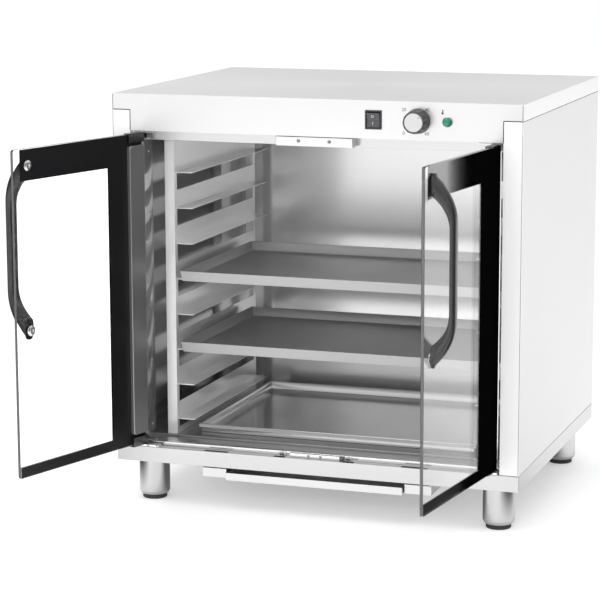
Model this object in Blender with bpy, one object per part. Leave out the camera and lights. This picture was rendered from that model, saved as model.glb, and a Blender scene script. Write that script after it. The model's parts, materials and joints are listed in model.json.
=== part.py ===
"""Proofing cabinet: a stainless steel cabinet on four legs, with two glass doors standing open.

The cabinet's own axes run +X to its right, +Y to its back and +Z up, with z = 0 on the floor and
y = 0 on the front face. The root empty carries everything and puts the footprint's middle at the origin.
"""
import math

import bmesh
import bpy
from mathutils import Matrix, Vector

# Clearances and cutting
SEAT_GAP = 0.0003
CUT_OVERRUN = 0.004
SHEET = 0.0012

# Body
BODY_WIDTH = 0.800
BODY_DEPTH = 0.642
BODY_HEIGHT = 0.714
LEG_REACH = 0.085
BASE_HEIGHT = 0.030
LID_SKIRT = 0.030
FASCIA_DROP = 0.070
FASCIA_RETURN = 0.010
FLANGE_WIDTH = 0.037
JAMB_DEPTH = 0.044
LINER_BACK_GAP = 0.040
PANEL_SEAM = 0.0008

HALF_WIDTH = BODY_WIDTH / 2
BASE_TOP = LEG_REACH + BASE_HEIGHT
BODY_TOP = LEG_REACH + BODY_HEIGHT
LID_BOTTOM = BODY_TOP - LID_SKIRT
FASCIA_BOTTOM = BODY_TOP - FASCIA_DROP
OPENING_HALF = HALF_WIDTH - FLANGE_WIDTH
LINER_BACK = BODY_DEPTH - LINER_BACK_GAP

# Drain slots and catch slots in the front ledge of the base
DRAIN_SLOT_LENGTH = 0.048
DRAIN_SLOT_WIDTH = 0.0025
DRAIN_SLOT_SETBACK = 0.003
DRAIN_SLOT_OFFSET = 0.197
CATCH_SLOT_LENGTH = 0.022
CATCH_SLOT_OFFSET = 0.069

# Sill lip, head rail and ceiling behind the closed doors
LIP_FRONT = 0.020
LIP_DEPTH = 0.010
LIP_HEIGHT = 0.008
RAIL_FRONT = 0.037
RAIL_DEPTH = 0.010
RAIL_SHOW = 0.0206
RAIL_HIDDEN = 0.012
CEILING_RISE = 0.004
FLOOR_FRONT = 0.095
FLOOR_RISE = 0.004

RAIL_BOTTOM = FASCIA_BOTTOM - RAIL_SHOW
CEILING_BOTTOM = RAIL_BOTTOM + CEILING_RISE
FLOOR_BOTTOM = BASE_TOP + SEAT_GAP
FLOOR_TOP = FLOOR_BOTTOM + FLOOR_RISE

# Racks with pressed runners
RACK_INSET = 0.085
RACK_FRONT = 0.100
RACK_BACK_GAP = 0.052
RACK_FLANGE = 0.020
RACK_HEADROOM = 0.003
RACK_POST_WIDTH = 0.012
RUNNER_COUNT = 8
RUNNER_FIRST_RISE = 0.033
RUNNER_TOP_SPACE = 0.0714
RUNNER_WIDTH = 0.032
WINDOW_HEIGHT = 0.034
STUD_RADIUS = 0.004
STUD_BELOW_TOP = 0.040

RACK_FACE = HALF_WIDTH - RACK_INSET
RACK_BACK = LINER_BACK - RACK_BACK_GAP
RACK_BOTTOM = FLOOR_TOP + SEAT_GAP
RACK_TOP = CEILING_BOTTOM - RACK_HEADROOM
RUNNER_PITCH = (RACK_TOP - RUNNER_TOP_SPACE - BASE_TOP - RUNNER_FIRST_RISE) / (RUNNER_COUNT - 1)

# Baking trays and water pan; each tray has so many runners below its own
TRAY_SIDE_CLEARANCE = 0.015
TRAY_BACK_CLEARANCE = 0.065
TRAY_HEIGHT = 0.020
TRAY_FLARE = 0.004
TRAY_FRONT = 0.085
UPPER_TRAY_RUNNER_COUNT = 4
LOWER_TRAY_RUNNER_COUNT = 2
PAN_SIDE_CLEARANCE = 0.034
PAN_BACK_CLEARANCE = 0.057
PAN_HEIGHT = 0.017
PAN_FLARE = 0.002
PAN_FRONT = 0.128
PAN_RIM_WIDTH = 0.003
PAN_RIM_HEIGHT = 0.0075

TRAY_WIDTH = 2 * (RACK_FACE - TRAY_SIDE_CLEARANCE)
TRAY_DEPTH = RACK_BACK - TRAY_BACK_CLEARANCE - TRAY_FRONT
PAN_WIDTH = 2 * (RACK_FACE - PAN_SIDE_CLEARANCE)
PAN_DEPTH = LINER_BACK - PAN_BACK_CLEARANCE - PAN_FRONT

# Legs and levelling feet
LEG_RADIUS = 0.030
LEG_TAPER = 0.0035
LEG_TAPER_HEIGHT = 0.006
LEG_INSET_X = 0.052
LEG_INSET_Y = 0.060
LEG_SIDES = 40
FOOT_RADIUS = 0.024
FOOT_HEIGHT = 0.009
FOOT_ROUNDING = 0.0015
FOOT_STEM_RADIUS = 0.006
FOOT_STEM_LENGTH = 0.034
FOOT_BORE_CLEARANCE = 0.0005
LEG_HOLE_CLEARANCE = 0.001

# Doors
GLASS_THICKNESS = 0.006
GLASS_CORNER = 0.005
CORNER_STEPS = 5
PIVOT_INSET = 0.049
PIVOT_SETBACK = 0.006
DOOR_MEETING_GAP = 0.004
DOOR_TAIL = 0.0085
DOOR_BOTTOM_CLEARANCE = 0.0065
DOOR_TOP_CLEARANCE = 0.0050
LEFT_DOOR_OPEN = math.radians(107.0)
RIGHT_DOOR_OPEN = math.radians(83.5)
PROFILE_TAIL = 0.006
PROFILE_REACH = 0.036
PROFILE_THICKNESS = 0.008
PROFILE_END_GAP = 0.022
PROFILE_ROUNDING = 0.006
CLAMP_REACH = 0.036
CLAMP_TAIL = 0.007
CLAMP_PLATE = 0.0070
CLAMP_BRIDGE = 0.0018
CLAMP_GRIP = 0.016
PIN_RADIUS = 0.0016
PIN_CLEARANCE = 0.0004
BRACKET_TAIL = 0.008
BRACKET_REACH = 0.036
BRACKET_THICKNESS = 0.0015
BRACKET_BOTTOM_DEPTH = 0.013
BRACKET_NOSE = 0.0055

DOOR_REACH = HALF_WIDTH - PIVOT_INSET - DOOR_MEETING_GAP
DOOR_BOTTOM = BASE_TOP + DOOR_BOTTOM_CLEARANCE
DOOR_TOP = FASCIA_BOTTOM - DOOR_TOP_CLEARANCE
HALF_GLASS = GLASS_THICKNESS / 2

# Handles
HANDLE_FROM_EDGE = 0.037
HANDLE_BELOW_TOP = 0.014
HANDLE_LENGTH = 0.335
HANDLE_WIDTH = 0.022
HANDLE_THICKNESS = 0.011
HANDLE_REACH = 0.043
HANDLE_RISE = 0.088
HANDLE_FOOT = 0.040
HANDLE_EDGE_ROUNDING = 0.0035
HANDLE_CURVE_POWER_SHARE = 2.3
HANDLE_STEPS = 9
SCREW_INSET = 0.017
SCREW_HEAD_RADIUS = 0.0098
SCREW_HEAD_HEIGHT = 0.004
SCREW_RIM = 0.0012
SCREW_SOCKET_RADIUS = 0.0030
SCREW_SOCKET_DEPTH = 0.0018
SCREW_SHANK_RADIUS = 0.003
SCREW_BITE = 0.003
SCREW_CLEARANCE = 0.0004
SCREW_SIDES = 24

# Magnetic catches
CATCH_FRONT = 0.012
TOP_CATCH_WIDTH = 0.150
TOP_CATCH_BELOW = 0.0025
TOP_CATCH_HEIGHT = 0.0175
TOP_CATCH_ROUNDING = 0.007
BOTTOM_CATCH_WIDTH = 0.100
BOTTOM_CATCH_HEIGHT = 0.007
BOTTOM_CATCH_ROUNDING = 0.002

# Drip tray and its holder under the base
HOLDER_WIDTH = 0.454
HOLDER_FRONT = 0.010
HOLDER_DEPTH = 0.110
HOLDER_HEIGHT = 0.022
HOLDER_TOP_SLOT = 0.003
HOLDER_MOUTH_WIDTH = 0.357
DRIP_SIDE_CLEARANCE = 0.002
DRIP_HEIGHT = 0.009
DRIP_BACK_CLEARANCE = 0.006
DRIP_FRONT = 0.001
DRIP_PLATE_DROP = 0.0031
DRIP_PLATE_HEIGHT = 0.0145

# Controls on the fascia
CONTROL_BELOW_TOP = 0.035
SWITCH_X = 0.119
SWITCH_WIDTH = 0.0315
SWITCH_HEIGHT = 0.0350
SWITCH_FLANGE = 0.0025
SWITCH_WALL = 0.0030
SWITCH_BODY_INSET = 0.0022
SWITCH_BODY_DEPTH = 0.024
SWITCH_RECESS = 0.010
SWITCH_HOLE_CLEARANCE = 0.0005
ROCKER_CLEARANCE = 0.0013
ROCKER_PIVOT_DEPTH = 0.002
ROCKER_CREST = 0.0062
ROCKER_VALLEY = 0.0030
ROCKER_BACK = 0.0050
ROCKER_BACK_HALF = 0.0070
ROCKER_TILT = math.radians(7.0)
DIAL_X = 0.2035
DIAL_SIDES = 48
DIAL_LOBES = 12
DIAL_LOBE_SHARE = 0.045
DIAL_BASE_RADIUS = 0.0233
DIAL_FACE_RADIUS = 0.0204
DIAL_REACH = 0.030
DIAL_STANDOFF = 0.001
DIAL_SKIRT = 0.004
DIAL_CHAMFER = 0.0012
DIAL_RECESS_RADIUS = 0.0186
DIAL_RECESS_DEPTH = 0.0010
DIAL_DISC_THICKNESS = 0.0006
SHAFT_RADIUS = 0.003
SHAFT_CLEARANCE = 0.0004
SHAFT_REACH = 0.022
SHAFT_HOLE_CLEARANCE = 0.0015
THERMOSTAT_RADIUS = 0.020
THERMOSTAT_DEPTH = 0.032
LAMP_X = 0.259
LAMP_SIDES = 32
LAMP_BEZEL_RADIUS = 0.0095
LAMP_BEZEL_REACH = 0.0025
LAMP_BEZEL_LIP = 0.0008
LAMP_LENS_RADIUS = 0.0075
LAMP_LENS_REACH = 0.0110
LAMP_LENS_DOME = 0.0030
LAMP_RECESS = 0.0012
LAMP_BODY_RADIUS = 0.0060
LAMP_BODY_DEPTH = 0.024
LAMP_HOLE_CLEARANCE = 0.0005

# Heater under the cavity floor and cable gland in the back
HEATER_WIDTH = 0.360
HEATER_DEPTH = 0.280
HEATER_THICKNESS = 0.006
GLAND_INSET = 0.110
GLAND_RISE = 0.030
GLAND_SIDES = 24
GLAND_HEX_RADIUS = 0.013
GLAND_HEX_REACH = 0.006
GLAND_NOSE_RADIUS = 0.0095
GLAND_NOSE_REACH = 0.018
GLAND_MOUTH_RADIUS = 0.0045
GLAND_MOUTH_DEPTH = 0.012
GLAND_THREAD_RADIUS = 0.0085
GLAND_THREAD_DEPTH = 0.012
GLAND_HOLE_CLEARANCE = 0.0005


def clear_scene():
    """Remove every object of the start scene."""
    for item in list(bpy.data.objects):
        bpy.data.objects.remove(item, do_unlink=True)


def make_material(name, colour, roughness, metallic, alpha=1.0):
    """A Principled material with the piece's colour, roughness and metallic value."""
    material = bpy.data.materials.new(name)
    material.use_nodes = True
    shader = material.node_tree.nodes["Principled BSDF"]
    shader.inputs["Base Color"].default_value = (*colour, 1.0)
    shader.inputs["Roughness"].default_value = roughness
    shader.inputs["Metallic"].default_value = metallic
    shader.inputs["Alpha"].default_value = alpha
    return material


def make_materials():
    """All finishes of the cabinet, by name."""
    return {
        "satin_steel": make_material("satin_steel", (0.78, 0.78, 0.78), 0.38, 1.0),
        "bright_steel": make_material("bright_steel", (0.62, 0.62, 0.63), 0.18, 1.0),
        "tray_steel": make_material("tray_steel", (0.66, 0.66, 0.67), 0.30, 1.0),
        "dark_metal": make_material("dark_metal", (0.10, 0.10, 0.105), 0.35, 0.8),
        "door_glass": make_material("door_glass", (0.90, 0.93, 0.93), 0.02, 0.0, 0.35),
        "black_plastic": make_material("black_plastic", (0.025, 0.025, 0.027), 0.38, 0.0),
        "pale_plastic": make_material("pale_plastic", (0.83, 0.83, 0.83), 0.35, 0.0),
        "green_lens": make_material("green_lens", (0.02, 0.42, 0.22), 0.15, 0.0),
        "rubber_black": make_material("rubber_black", (0.03, 0.03, 0.03), 0.70, 0.0),
        "heater_foil": make_material("heater_foil", (0.55, 0.53, 0.50), 0.45, 1.0),
    }


def add_empty(name, parent, location=(0, 0, 0)):
    """An empty that carries pieces."""
    empty = bpy.data.objects.new(name, None)
    bpy.context.scene.collection.objects.link(empty)
    empty.parent = parent
    empty.location = location
    return empty


def add_object(name, mesh_data, material, parent, location=(0, 0, 0)):
    """Turn mesh data into a named, parented object with outward faces."""
    bmesh.ops.recalc_face_normals(mesh_data, faces=mesh_data.faces)
    mesh = bpy.data.meshes.new(name)
    mesh_data.to_mesh(mesh)
    mesh_data.free()
    item = bpy.data.objects.new(name, mesh)
    bpy.context.scene.collection.objects.link(item)
    if material is not None:
        mesh.materials.append(material)
    item.parent = parent
    item.location = location
    return item


def add_box(mesh_data, low, high):
    """Add a box between two corners to mesh data."""
    low, high = Vector(low), Vector(high)
    size = high - low
    matrix = Matrix.Translation((low + high) / 2) @ Matrix.Diagonal((*size, 1.0))
    bmesh.ops.create_cube(mesh_data, size=1.0, matrix=matrix)


def box(name, low, high, material, parent, location=(0, 0, 0)):
    """A box-shaped piece between two corners."""
    mesh_data = bmesh.new()
    add_box(mesh_data, [min(a, b) for a, b in zip(low, high)], [max(a, b) for a, b in zip(low, high)])
    return add_object(name, mesh_data, material, parent, location)


def add_loft(mesh_data, rings):
    """Extrude the first ring's face through the other rings, which makes one closed body."""
    face = mesh_data.faces.new([mesh_data.verts.new(point) for point in rings[0]])
    previous = [Vector(point) for point in rings[0]]
    for step, ring in enumerate(rings[1:]):
        covered = face
        made = bmesh.ops.extrude_face_region(mesh_data, geom=[covered])["geom"]
        face = next(part for part in made if isinstance(part, bmesh.types.BMFace))
        if step and covered.is_valid:
            bmesh.ops.delete(mesh_data, geom=[covered], context="FACES_ONLY")
        places = {}
        for vert in face.verts:
            index = min(range(len(previous)), key=lambda i: (vert.co - previous[i]).length_squared)
            places[vert] = index
        for vert, index in places.items():
            vert.co = ring[index]
        previous = [Vector(point) for point in ring]


def loft(name, rings, material, parent, location=(0, 0, 0), smooth_angle=None):
    """One closed piece that runs through the given rings."""
    mesh_data = bmesh.new()
    add_loft(mesh_data, rings)
    item = add_object(name, mesh_data, material, parent, location)
    if smooth_angle is not None:
        item.data.shade_smooth()
        item.data.set_sharp_from_angle(angle=smooth_angle)
    return item


def rectangle(x_low, x_high, y_low, y_high, z):
    """A level rectangle's corners."""
    return [(x_low, y_low, z), (x_high, y_low, z), (x_high, y_high, z), (x_low, y_high, z)]


def upright_rectangle(half_width, half_height, y):
    """An upright rectangle's corners round the Y axis."""
    return [(-half_width, y, -half_height), (half_width, y, -half_height),
            (half_width, y, half_height), (-half_width, y, half_height)]


def circle_z(radius, z, sides):
    """A level circle's points round the Z axis."""
    return [(radius * math.cos(math.tau * i / sides), radius * math.sin(math.tau * i / sides), z)
            for i in range(sides)]


def circle_y(radius, y, sides, lobes=0, lobe_share=0.0):
    """An upright circle's points round the Y axis, scalloped where lobes are asked for."""
    points = []
    for i in range(sides):
        angle = math.tau * i / sides
        reach = radius * (1 - lobe_share * (1 - math.cos(lobes * angle)) / 2)
        points.append((reach * math.cos(angle), y, reach * math.sin(angle)))
    return points


def arc_points(centre, radius, start, end, steps):
    """Points on an arc in a plane, both ends included."""
    return [(centre[0] + radius * math.cos(start + (end - start) * i / steps),
             centre[1] + radius * math.sin(start + (end - start) * i / steps)) for i in range(steps + 1)]


def prism_x(outline, x_low, x_high):
    """Rings of an outline in Y and Z, drawn along X."""
    return [[(x, y, z) for y, z in outline] for x in (x_low, x_high)]


def prism_y(outline, y_low, y_high):
    """Rings of an outline in X and Z, drawn along Y."""
    return [[(x, y, z) for x, z in outline] for y in (y_low, y_high)]


def prism_z(outline, z_low, z_high):
    """Rings of an outline in X and Y, drawn along Z."""
    return [[(x, y, z) for x, y in outline] for z in (z_low, z_high)]


def operand(name, parent, boxes=(), lofts=(), location=(0, 0, 0)):
    """A hidden body that cuts, or is joined to, a piece."""
    mesh_data = bmesh.new()
    for low, high in boxes:
        add_box(mesh_data, low, high)
    for rings in lofts:
        add_loft(mesh_data, rings)
    item = add_object(name, mesh_data, None, parent, location)
    item.hide_render = True
    item.display_type = "WIRE"
    return item


def combine(item, other, operation):
    """Cut or join two bodies with a Boolean modifier."""
    modifier = item.modifiers.new(other.name, "BOOLEAN")
    modifier.operation = operation
    modifier.solver = "EXACT"
    modifier.object = other


def open_shell_up(x_low, x_high, y_low, y_high, z_low, height, flare, wall):
    """Rings of a tray: flared sides, a flat floor and an open top."""
    z_high = z_low + height
    return [
        rectangle(x_low + flare, x_high - flare, y_low + flare, y_high - flare, z_low),
        rectangle(x_low, x_high, y_low, y_high, z_high),
        rectangle(x_low + wall, x_high - wall, y_low + wall, y_high - wall, z_high),
        rectangle(x_low + flare + wall, x_high - flare - wall,
                  y_low + flare + wall, y_high - flare - wall, z_low + wall),
    ]


def rimmed_shell_up(half, y_low, y_high, height, flare, rim, rim_height, wall):
    """Rings of a pan: a wall that stands back under a thick rolled rim, with an open top."""
    shoulder = height - rim_height
    sink = flare + rim
    return [
        rectangle(-half + sink, half - sink, y_low + sink, y_high - sink, 0),
        rectangle(-half + rim, half - rim, y_low + rim, y_high - rim, shoulder),
        rectangle(-half, half, y_low, y_high, shoulder),
        rectangle(-half, half, y_low, y_high, height),
        rectangle(-half + rim + wall, half - rim - wall, y_low + rim + wall, y_high - rim - wall, height),
        rectangle(-half + sink + wall, half - sink - wall, y_low + sink + wall, y_high - sink - wall, wall),
    ]


def open_shell_down(x_half, y_low, y_high, z_low, z_high, wall):
    """Rings of a cover: a flat top with a skirt, open underneath."""
    inner_half, inner_low, inner_high = x_half - wall, y_low + wall, y_high - wall
    return [
        rectangle(-inner_half, inner_half, inner_low, inner_high, z_high - wall),
        rectangle(-inner_half, inner_half, inner_low, inner_high, z_low),
        rectangle(-x_half, x_half, y_low, y_high, z_low),
        rectangle(-x_half, x_half, y_low, y_high, z_high),
    ]


def runner_top(index):
    """Level of a runner's upper face, counted from the lowest."""
    return BASE_TOP + RUNNER_FIRST_RISE + index * RUNNER_PITCH


def leg_places():
    """Names and centres of the four legs."""
    x = HALF_WIDTH - LEG_INSET_X
    front, back = LEG_INSET_Y, BODY_DEPTH - LEG_INSET_Y
    return {"front_left": (-x, front), "front_right": (x, front), "rear_left": (-x, back), "rear_right": (x, back)}


def build_base(root, finishes):
    """The base pan with its drain slots, the bottom panel, the sill lip and the head rail."""
    steel = finishes["satin_steel"]
    base = loft("base_frame", open_shell_down(HALF_WIDTH, 0, BODY_DEPTH, LEG_REACH, BASE_TOP, SHEET), steel, root)
    slots = []
    for offset, length in ((DRAIN_SLOT_OFFSET, DRAIN_SLOT_LENGTH), (CATCH_SLOT_OFFSET, CATCH_SLOT_LENGTH)):
        for centre in (-offset, offset):
            slots.append(((centre - length / 2, DRAIN_SLOT_SETBACK, BASE_TOP - SHEET - CUT_OVERRUN),
                          (centre + length / 2, DRAIN_SLOT_SETBACK + DRAIN_SLOT_WIDTH, BASE_TOP + CUT_OVERRUN)))
    combine(base, operand("drain_slot_cutter", root, boxes=slots), "DIFFERENCE")

    inner = HALF_WIDTH - SHEET - SEAT_GAP
    bottom = box("bottom_panel", (-inner, SHEET + SEAT_GAP, LEG_REACH),
                 (inner, BODY_DEPTH - SHEET - SEAT_GAP, LEG_REACH + SHEET), steel, root)
    leg_holes = []
    for x, y in leg_places().values():
        rings = [circle_z(LEG_RADIUS + LEG_HOLE_CLEARANCE, z, LEG_SIDES)
                 for z in (LEG_REACH - CUT_OVERRUN, LEG_REACH + SHEET + CUT_OVERRUN)]
        leg_holes.append([[(px + x, py + y, pz) for px, py, pz in ring] for ring in rings])
    combine(bottom, operand("leg_hole_cutter", root, lofts=leg_holes), "DIFFERENCE")

    half = OPENING_HALF - SEAT_GAP
    box("door_sill_lip", (-half, LIP_FRONT, BASE_TOP + SEAT_GAP),
        (half, LIP_FRONT + LIP_DEPTH, BASE_TOP + LIP_HEIGHT), finishes["bright_steel"], root)
    box("door_head_rail", (-half, RAIL_FRONT, RAIL_BOTTOM),
        (half, RAIL_FRONT + RAIL_DEPTH, FASCIA_BOTTOM + RAIL_HIDDEN), steel, root)


def build_panels(root, finishes):
    """Side panels with folded front flanges, the back panel and the top cover with the fascia."""
    steel = finishes["satin_steel"]
    z_low, z_high = BASE_TOP + PANEL_SEAM, LID_BOTTOM - PANEL_SEAM
    for side, word in ((-1, "left"), (1, "right")):
        outline = [(HALF_WIDTH, 0), (OPENING_HALF, 0), (OPENING_HALF, JAMB_DEPTH),
                   (OPENING_HALF + SHEET, JAMB_DEPTH), (OPENING_HALF + SHEET, SHEET),
                   (HALF_WIDTH - SHEET, SHEET), (HALF_WIDTH - SHEET, BODY_DEPTH), (HALF_WIDTH, BODY_DEPTH)]
        loft(word + "_side_panel", prism_z([(side * x, y) for x, y in outline], z_low, z_high), steel, root)

    inner = HALF_WIDTH - SHEET - SEAT_GAP
    back = box("back_panel", (-inner, BODY_DEPTH - SHEET, z_low), (inner, BODY_DEPTH, z_high), steel, root)
    gland_x, gland_z = gland_place()
    rings = [circle_y(GLAND_THREAD_RADIUS + GLAND_HOLE_CLEARANCE, y, GLAND_SIDES)
             for y in (BODY_DEPTH - SHEET - CUT_OVERRUN, BODY_DEPTH + CUT_OVERRUN)]
    hole = operand("gland_hole_cutter", root, lofts=[rings], location=(gland_x, 0, gland_z))
    combine(back, hole, "DIFFERENCE")

    cover = loft("top_cover", open_shell_down(HALF_WIDTH, 0, BODY_DEPTH, LID_BOTTOM, BODY_TOP, SHEET), steel, root)
    fold = [(0, FASCIA_BOTTOM), (FASCIA_RETURN, FASCIA_BOTTOM), (FASCIA_RETURN, FASCIA_BOTTOM + SHEET),
            (SHEET, FASCIA_BOTTOM + SHEET), (SHEET, BODY_TOP - SHEET / 2), (0, BODY_TOP - SHEET / 2)]
    half = OPENING_HALF - SEAT_GAP
    combine(cover, operand("fascia_fold", root, lofts=[prism_x(fold, -half, half)]), "UNION")
    combine(cover, control_cutter(root), "DIFFERENCE")


def control_cutter(root):
    """The holes in the fascia for the switch, the thermostat shaft and the lamp."""
    z = BODY_TOP - CONTROL_BELOW_TOP
    switch_half_x = SWITCH_WIDTH / 2 - SWITCH_BODY_INSET + SWITCH_HOLE_CLEARANCE
    switch_half_z = SWITCH_HEIGHT / 2 - SWITCH_BODY_INSET + SWITCH_HOLE_CLEARANCE
    y_low, y_high = -CUT_OVERRUN, SHEET + CUT_OVERRUN
    lofts = []
    for x, radius, sides in ((DIAL_X, SHAFT_RADIUS + SHAFT_HOLE_CLEARANCE, LAMP_SIDES),
                             (LAMP_X, LAMP_BODY_RADIUS + LAMP_HOLE_CLEARANCE, LAMP_SIDES)):
        lofts.append([[(px + x, py, pz + z) for px, py, pz in circle_y(radius, y, sides)]
                      for y in (y_low, y_high)])
    return operand("control_cutter", root, lofts=lofts,
                   boxes=[((SWITCH_X - switch_half_x, y_low, z - switch_half_z),
                           (SWITCH_X + switch_half_x, y_high, z + switch_half_z))])


def build_liner(root, finishes):
    """The bright liner of the cavity: two walls, back, ceiling and floor."""
    bright = finishes["bright_steel"]
    z_low, z_high = BASE_TOP + SEAT_GAP, CEILING_BOTTOM + SHEET
    for side, word in ((-1, "left"), (1, "right")):
        box(word + "_cavity_wall", (side * OPENING_HALF, JAMB_DEPTH + SEAT_GAP, z_low),
            (side * (OPENING_HALF + SHEET), LINER_BACK - SEAT_GAP, z_high), bright, root)
    half = OPENING_HALF - SEAT_GAP
    box("back_cavity_wall", (-OPENING_HALF - SHEET, LINER_BACK, z_low),
        (OPENING_HALF + SHEET, LINER_BACK + SHEET, z_high), bright, root)
    box("cavity_ceiling", (-half, RAIL_FRONT + RAIL_DEPTH + SEAT_GAP, CEILING_BOTTOM),
        (half, LINER_BACK - SEAT_GAP, z_high), bright, root)
    box("cavity_floor", (-half, FLOOR_FRONT, FLOOR_BOTTOM), (half, LINER_BACK - SEAT_GAP, FLOOR_TOP), bright, root)


def build_racks(root, finishes):
    """Two folded rack sheets with pressed-out runners, and the stud that ties each to the back."""
    for side, word in ((-1, "left"), (1, "right")):
        outer = RACK_FACE + RACK_FLANGE
        outline = [(RACK_FACE, RACK_FRONT), (outer, RACK_FRONT), (outer, RACK_FRONT + SHEET),
                   (RACK_FACE + SHEET, RACK_FRONT + SHEET), (RACK_FACE + SHEET, RACK_BACK - SHEET),
                   (outer, RACK_BACK - SHEET), (outer, RACK_BACK), (RACK_FACE, RACK_BACK)]
        rack = loft(word + "_rack", prism_z([(side * x, y) for x, y in outline], RACK_BOTTOM, RACK_TOP),
                    finishes["satin_steel"], root)
        windows, runners = [], []
        y_low, y_high = RACK_FRONT + RACK_POST_WIDTH, RACK_BACK - RACK_POST_WIDTH
        for index in range(RUNNER_COUNT):
            top = runner_top(index)
            xs = sorted((side * (RACK_FACE - CUT_OVERRUN), side * (RACK_FACE + SHEET + CUT_OVERRUN)))
            low = max(top - SHEET - WINDOW_HEIGHT, RACK_BOTTOM + RACK_POST_WIDTH)
            windows.append(((xs[0], y_low, low), (xs[1], y_high, top - SHEET)))
            xs = sorted((side * (RACK_FACE - RUNNER_WIDTH), side * (RACK_FACE + SHEET / 2)))
            runners.append(((xs[0], y_low, top - SHEET), (xs[1], y_high, top)))
        combine(rack, operand(word + "_window_cutter", root, boxes=windows), "DIFFERENCE")
        combine(rack, operand(word + "_runner_fold", root, boxes=runners), "UNION")
        rings = [circle_y(STUD_RADIUS, y, SCREW_SIDES) for y in (RACK_BACK + SEAT_GAP, LINER_BACK - SEAT_GAP)]
        loft(word + "_rack_stud", rings, finishes["bright_steel"], root,
             (side * (RACK_FACE + RACK_FLANGE / 2), 0, RACK_TOP - STUD_BELOW_TOP))


def build_trays(root, finishes):
    """Two baking trays on their runners, and the water pan on the floor, each on its own empty."""
    half = TRAY_WIDTH / 2
    for word, index in (("upper_tray", UPPER_TRAY_RUNNER_COUNT), ("lower_tray", LOWER_TRAY_RUNNER_COUNT)):
        empty = add_empty(word + "_slide", root, (0, TRAY_FRONT, runner_top(index) + SEAT_GAP))
        loft(word, open_shell_up(-half, half, 0, TRAY_DEPTH, 0, TRAY_HEIGHT, TRAY_FLARE, SHEET),
             finishes["tray_steel"], empty)
    empty = add_empty("water_pan_slide", root, (0, PAN_FRONT, FLOOR_TOP + SEAT_GAP))
    rings = rimmed_shell_up(PAN_WIDTH / 2, 0, PAN_DEPTH, PAN_HEIGHT, PAN_FLARE, PAN_RIM_WIDTH, PAN_RIM_HEIGHT, SHEET)
    loft("water_pan", rings, finishes["bright_steel"], empty)


def build_legs(root, finishes):
    """Four round legs and the levelling foot screwed into each."""
    leg_top = BASE_TOP - SHEET - SEAT_GAP
    bore = FOOT_STEM_RADIUS + FOOT_BORE_CLEARANCE
    leg_bottom = FOOT_HEIGHT + SEAT_GAP
    leg_rings = [circle_z(bore, FOOT_STEM_LENGTH + FOOT_HEIGHT + CUT_OVERRUN, LEG_SIDES),
                 circle_z(bore, leg_bottom, LEG_SIDES),
                 circle_z(LEG_RADIUS - LEG_TAPER, leg_bottom, LEG_SIDES),
                 circle_z(LEG_RADIUS, leg_bottom + LEG_TAPER_HEIGHT, LEG_SIDES),
                 circle_z(LEG_RADIUS, leg_top, LEG_SIDES)]
    foot_rings = [circle_z(FOOT_RADIUS - FOOT_ROUNDING, 0, LEG_SIDES),
                  circle_z(FOOT_RADIUS, FOOT_ROUNDING, LEG_SIDES),
                  circle_z(FOOT_RADIUS, FOOT_HEIGHT, LEG_SIDES),
                  circle_z(FOOT_STEM_RADIUS, FOOT_HEIGHT, LEG_SIDES),
                  circle_z(FOOT_STEM_RADIUS, FOOT_HEIGHT + FOOT_STEM_LENGTH, LEG_SIDES)]
    for word, (x, y) in leg_places().items():
        loft(word + "_leg", leg_rings, finishes["satin_steel"], root, (x, y, 0), math.radians(35))
        loft(word + "_foot", foot_rings, finishes["rubber_black"], root, (x, y, 0), math.radians(35))


def build_drip_tray(root, finishes):
    """The flat holder under the base and the drip tray that slides out of it."""
    top = LEG_REACH - SEAT_GAP
    bottom = top - HOLDER_HEIGHT
    half, back = HOLDER_WIDTH / 2, HOLDER_FRONT + HOLDER_DEPTH
    holder = box("drip_tray_holder", (-half, HOLDER_FRONT, bottom), (half, back, top), finishes["satin_steel"], root)
    inside = ((-half + SHEET, HOLDER_FRONT + SHEET, bottom + SHEET), (half - SHEET, back - SHEET, top - SHEET))
    mouth_half = HOLDER_MOUTH_WIDTH / 2
    y_low, y_high = HOLDER_FRONT - CUT_OVERRUN, HOLDER_FRONT + SHEET + CUT_OVERRUN
    mouth = ((-mouth_half, y_low, bottom + SHEET), (mouth_half, y_high, top - SHEET))
    slot = ((-half + SHEET, y_low, top - SHEET - HOLDER_TOP_SLOT), (half - SHEET, y_high, top - SHEET))
    combine(holder, operand("holder_hollow_cutter", root, boxes=[inside]), "DIFFERENCE")
    combine(holder, operand("holder_mouth_cutter", root, boxes=[mouth]), "DIFFERENCE")
    combine(holder, operand("holder_slot_cutter", root, boxes=[slot]), "DIFFERENCE")

    floor = bottom + SHEET + SEAT_GAP
    empty = add_empty("drip_tray_slide", root, (0, DRIP_FRONT, floor))
    half = mouth_half - DRIP_SIDE_CLEARANCE
    depth = back - DRIP_BACK_CLEARANCE - DRIP_FRONT
    tray = loft("drip_tray", open_shell_up(-half, half, 0, depth, 0, DRIP_HEIGHT, 0, SHEET),
                finishes["satin_steel"], empty)
    plate = ((-half, -SHEET / 2, -DRIP_PLATE_DROP), (half, SHEET / 2, DRIP_PLATE_HEIGHT - DRIP_PLATE_DROP))
    combine(tray, operand("drip_plate_fold", empty, boxes=[plate]), "UNION")


def glass_outline(side):
    """The door glass in X and Z: square at the hinge, rounded at the free edge."""
    r = GLASS_CORNER
    quarter = math.pi / 2
    points = [(-DOOR_TAIL, DOOR_BOTTOM)]
    points += arc_points((DOOR_REACH - r, DOOR_BOTTOM + r), r, -quarter, 0, CORNER_STEPS)
    points += arc_points((DOOR_REACH - r, DOOR_TOP - r), r, 0, quarter, CORNER_STEPS)
    points.append((-DOOR_TAIL, DOOR_TOP))
    return [(-side * x, z) for x, z in points]


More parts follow.
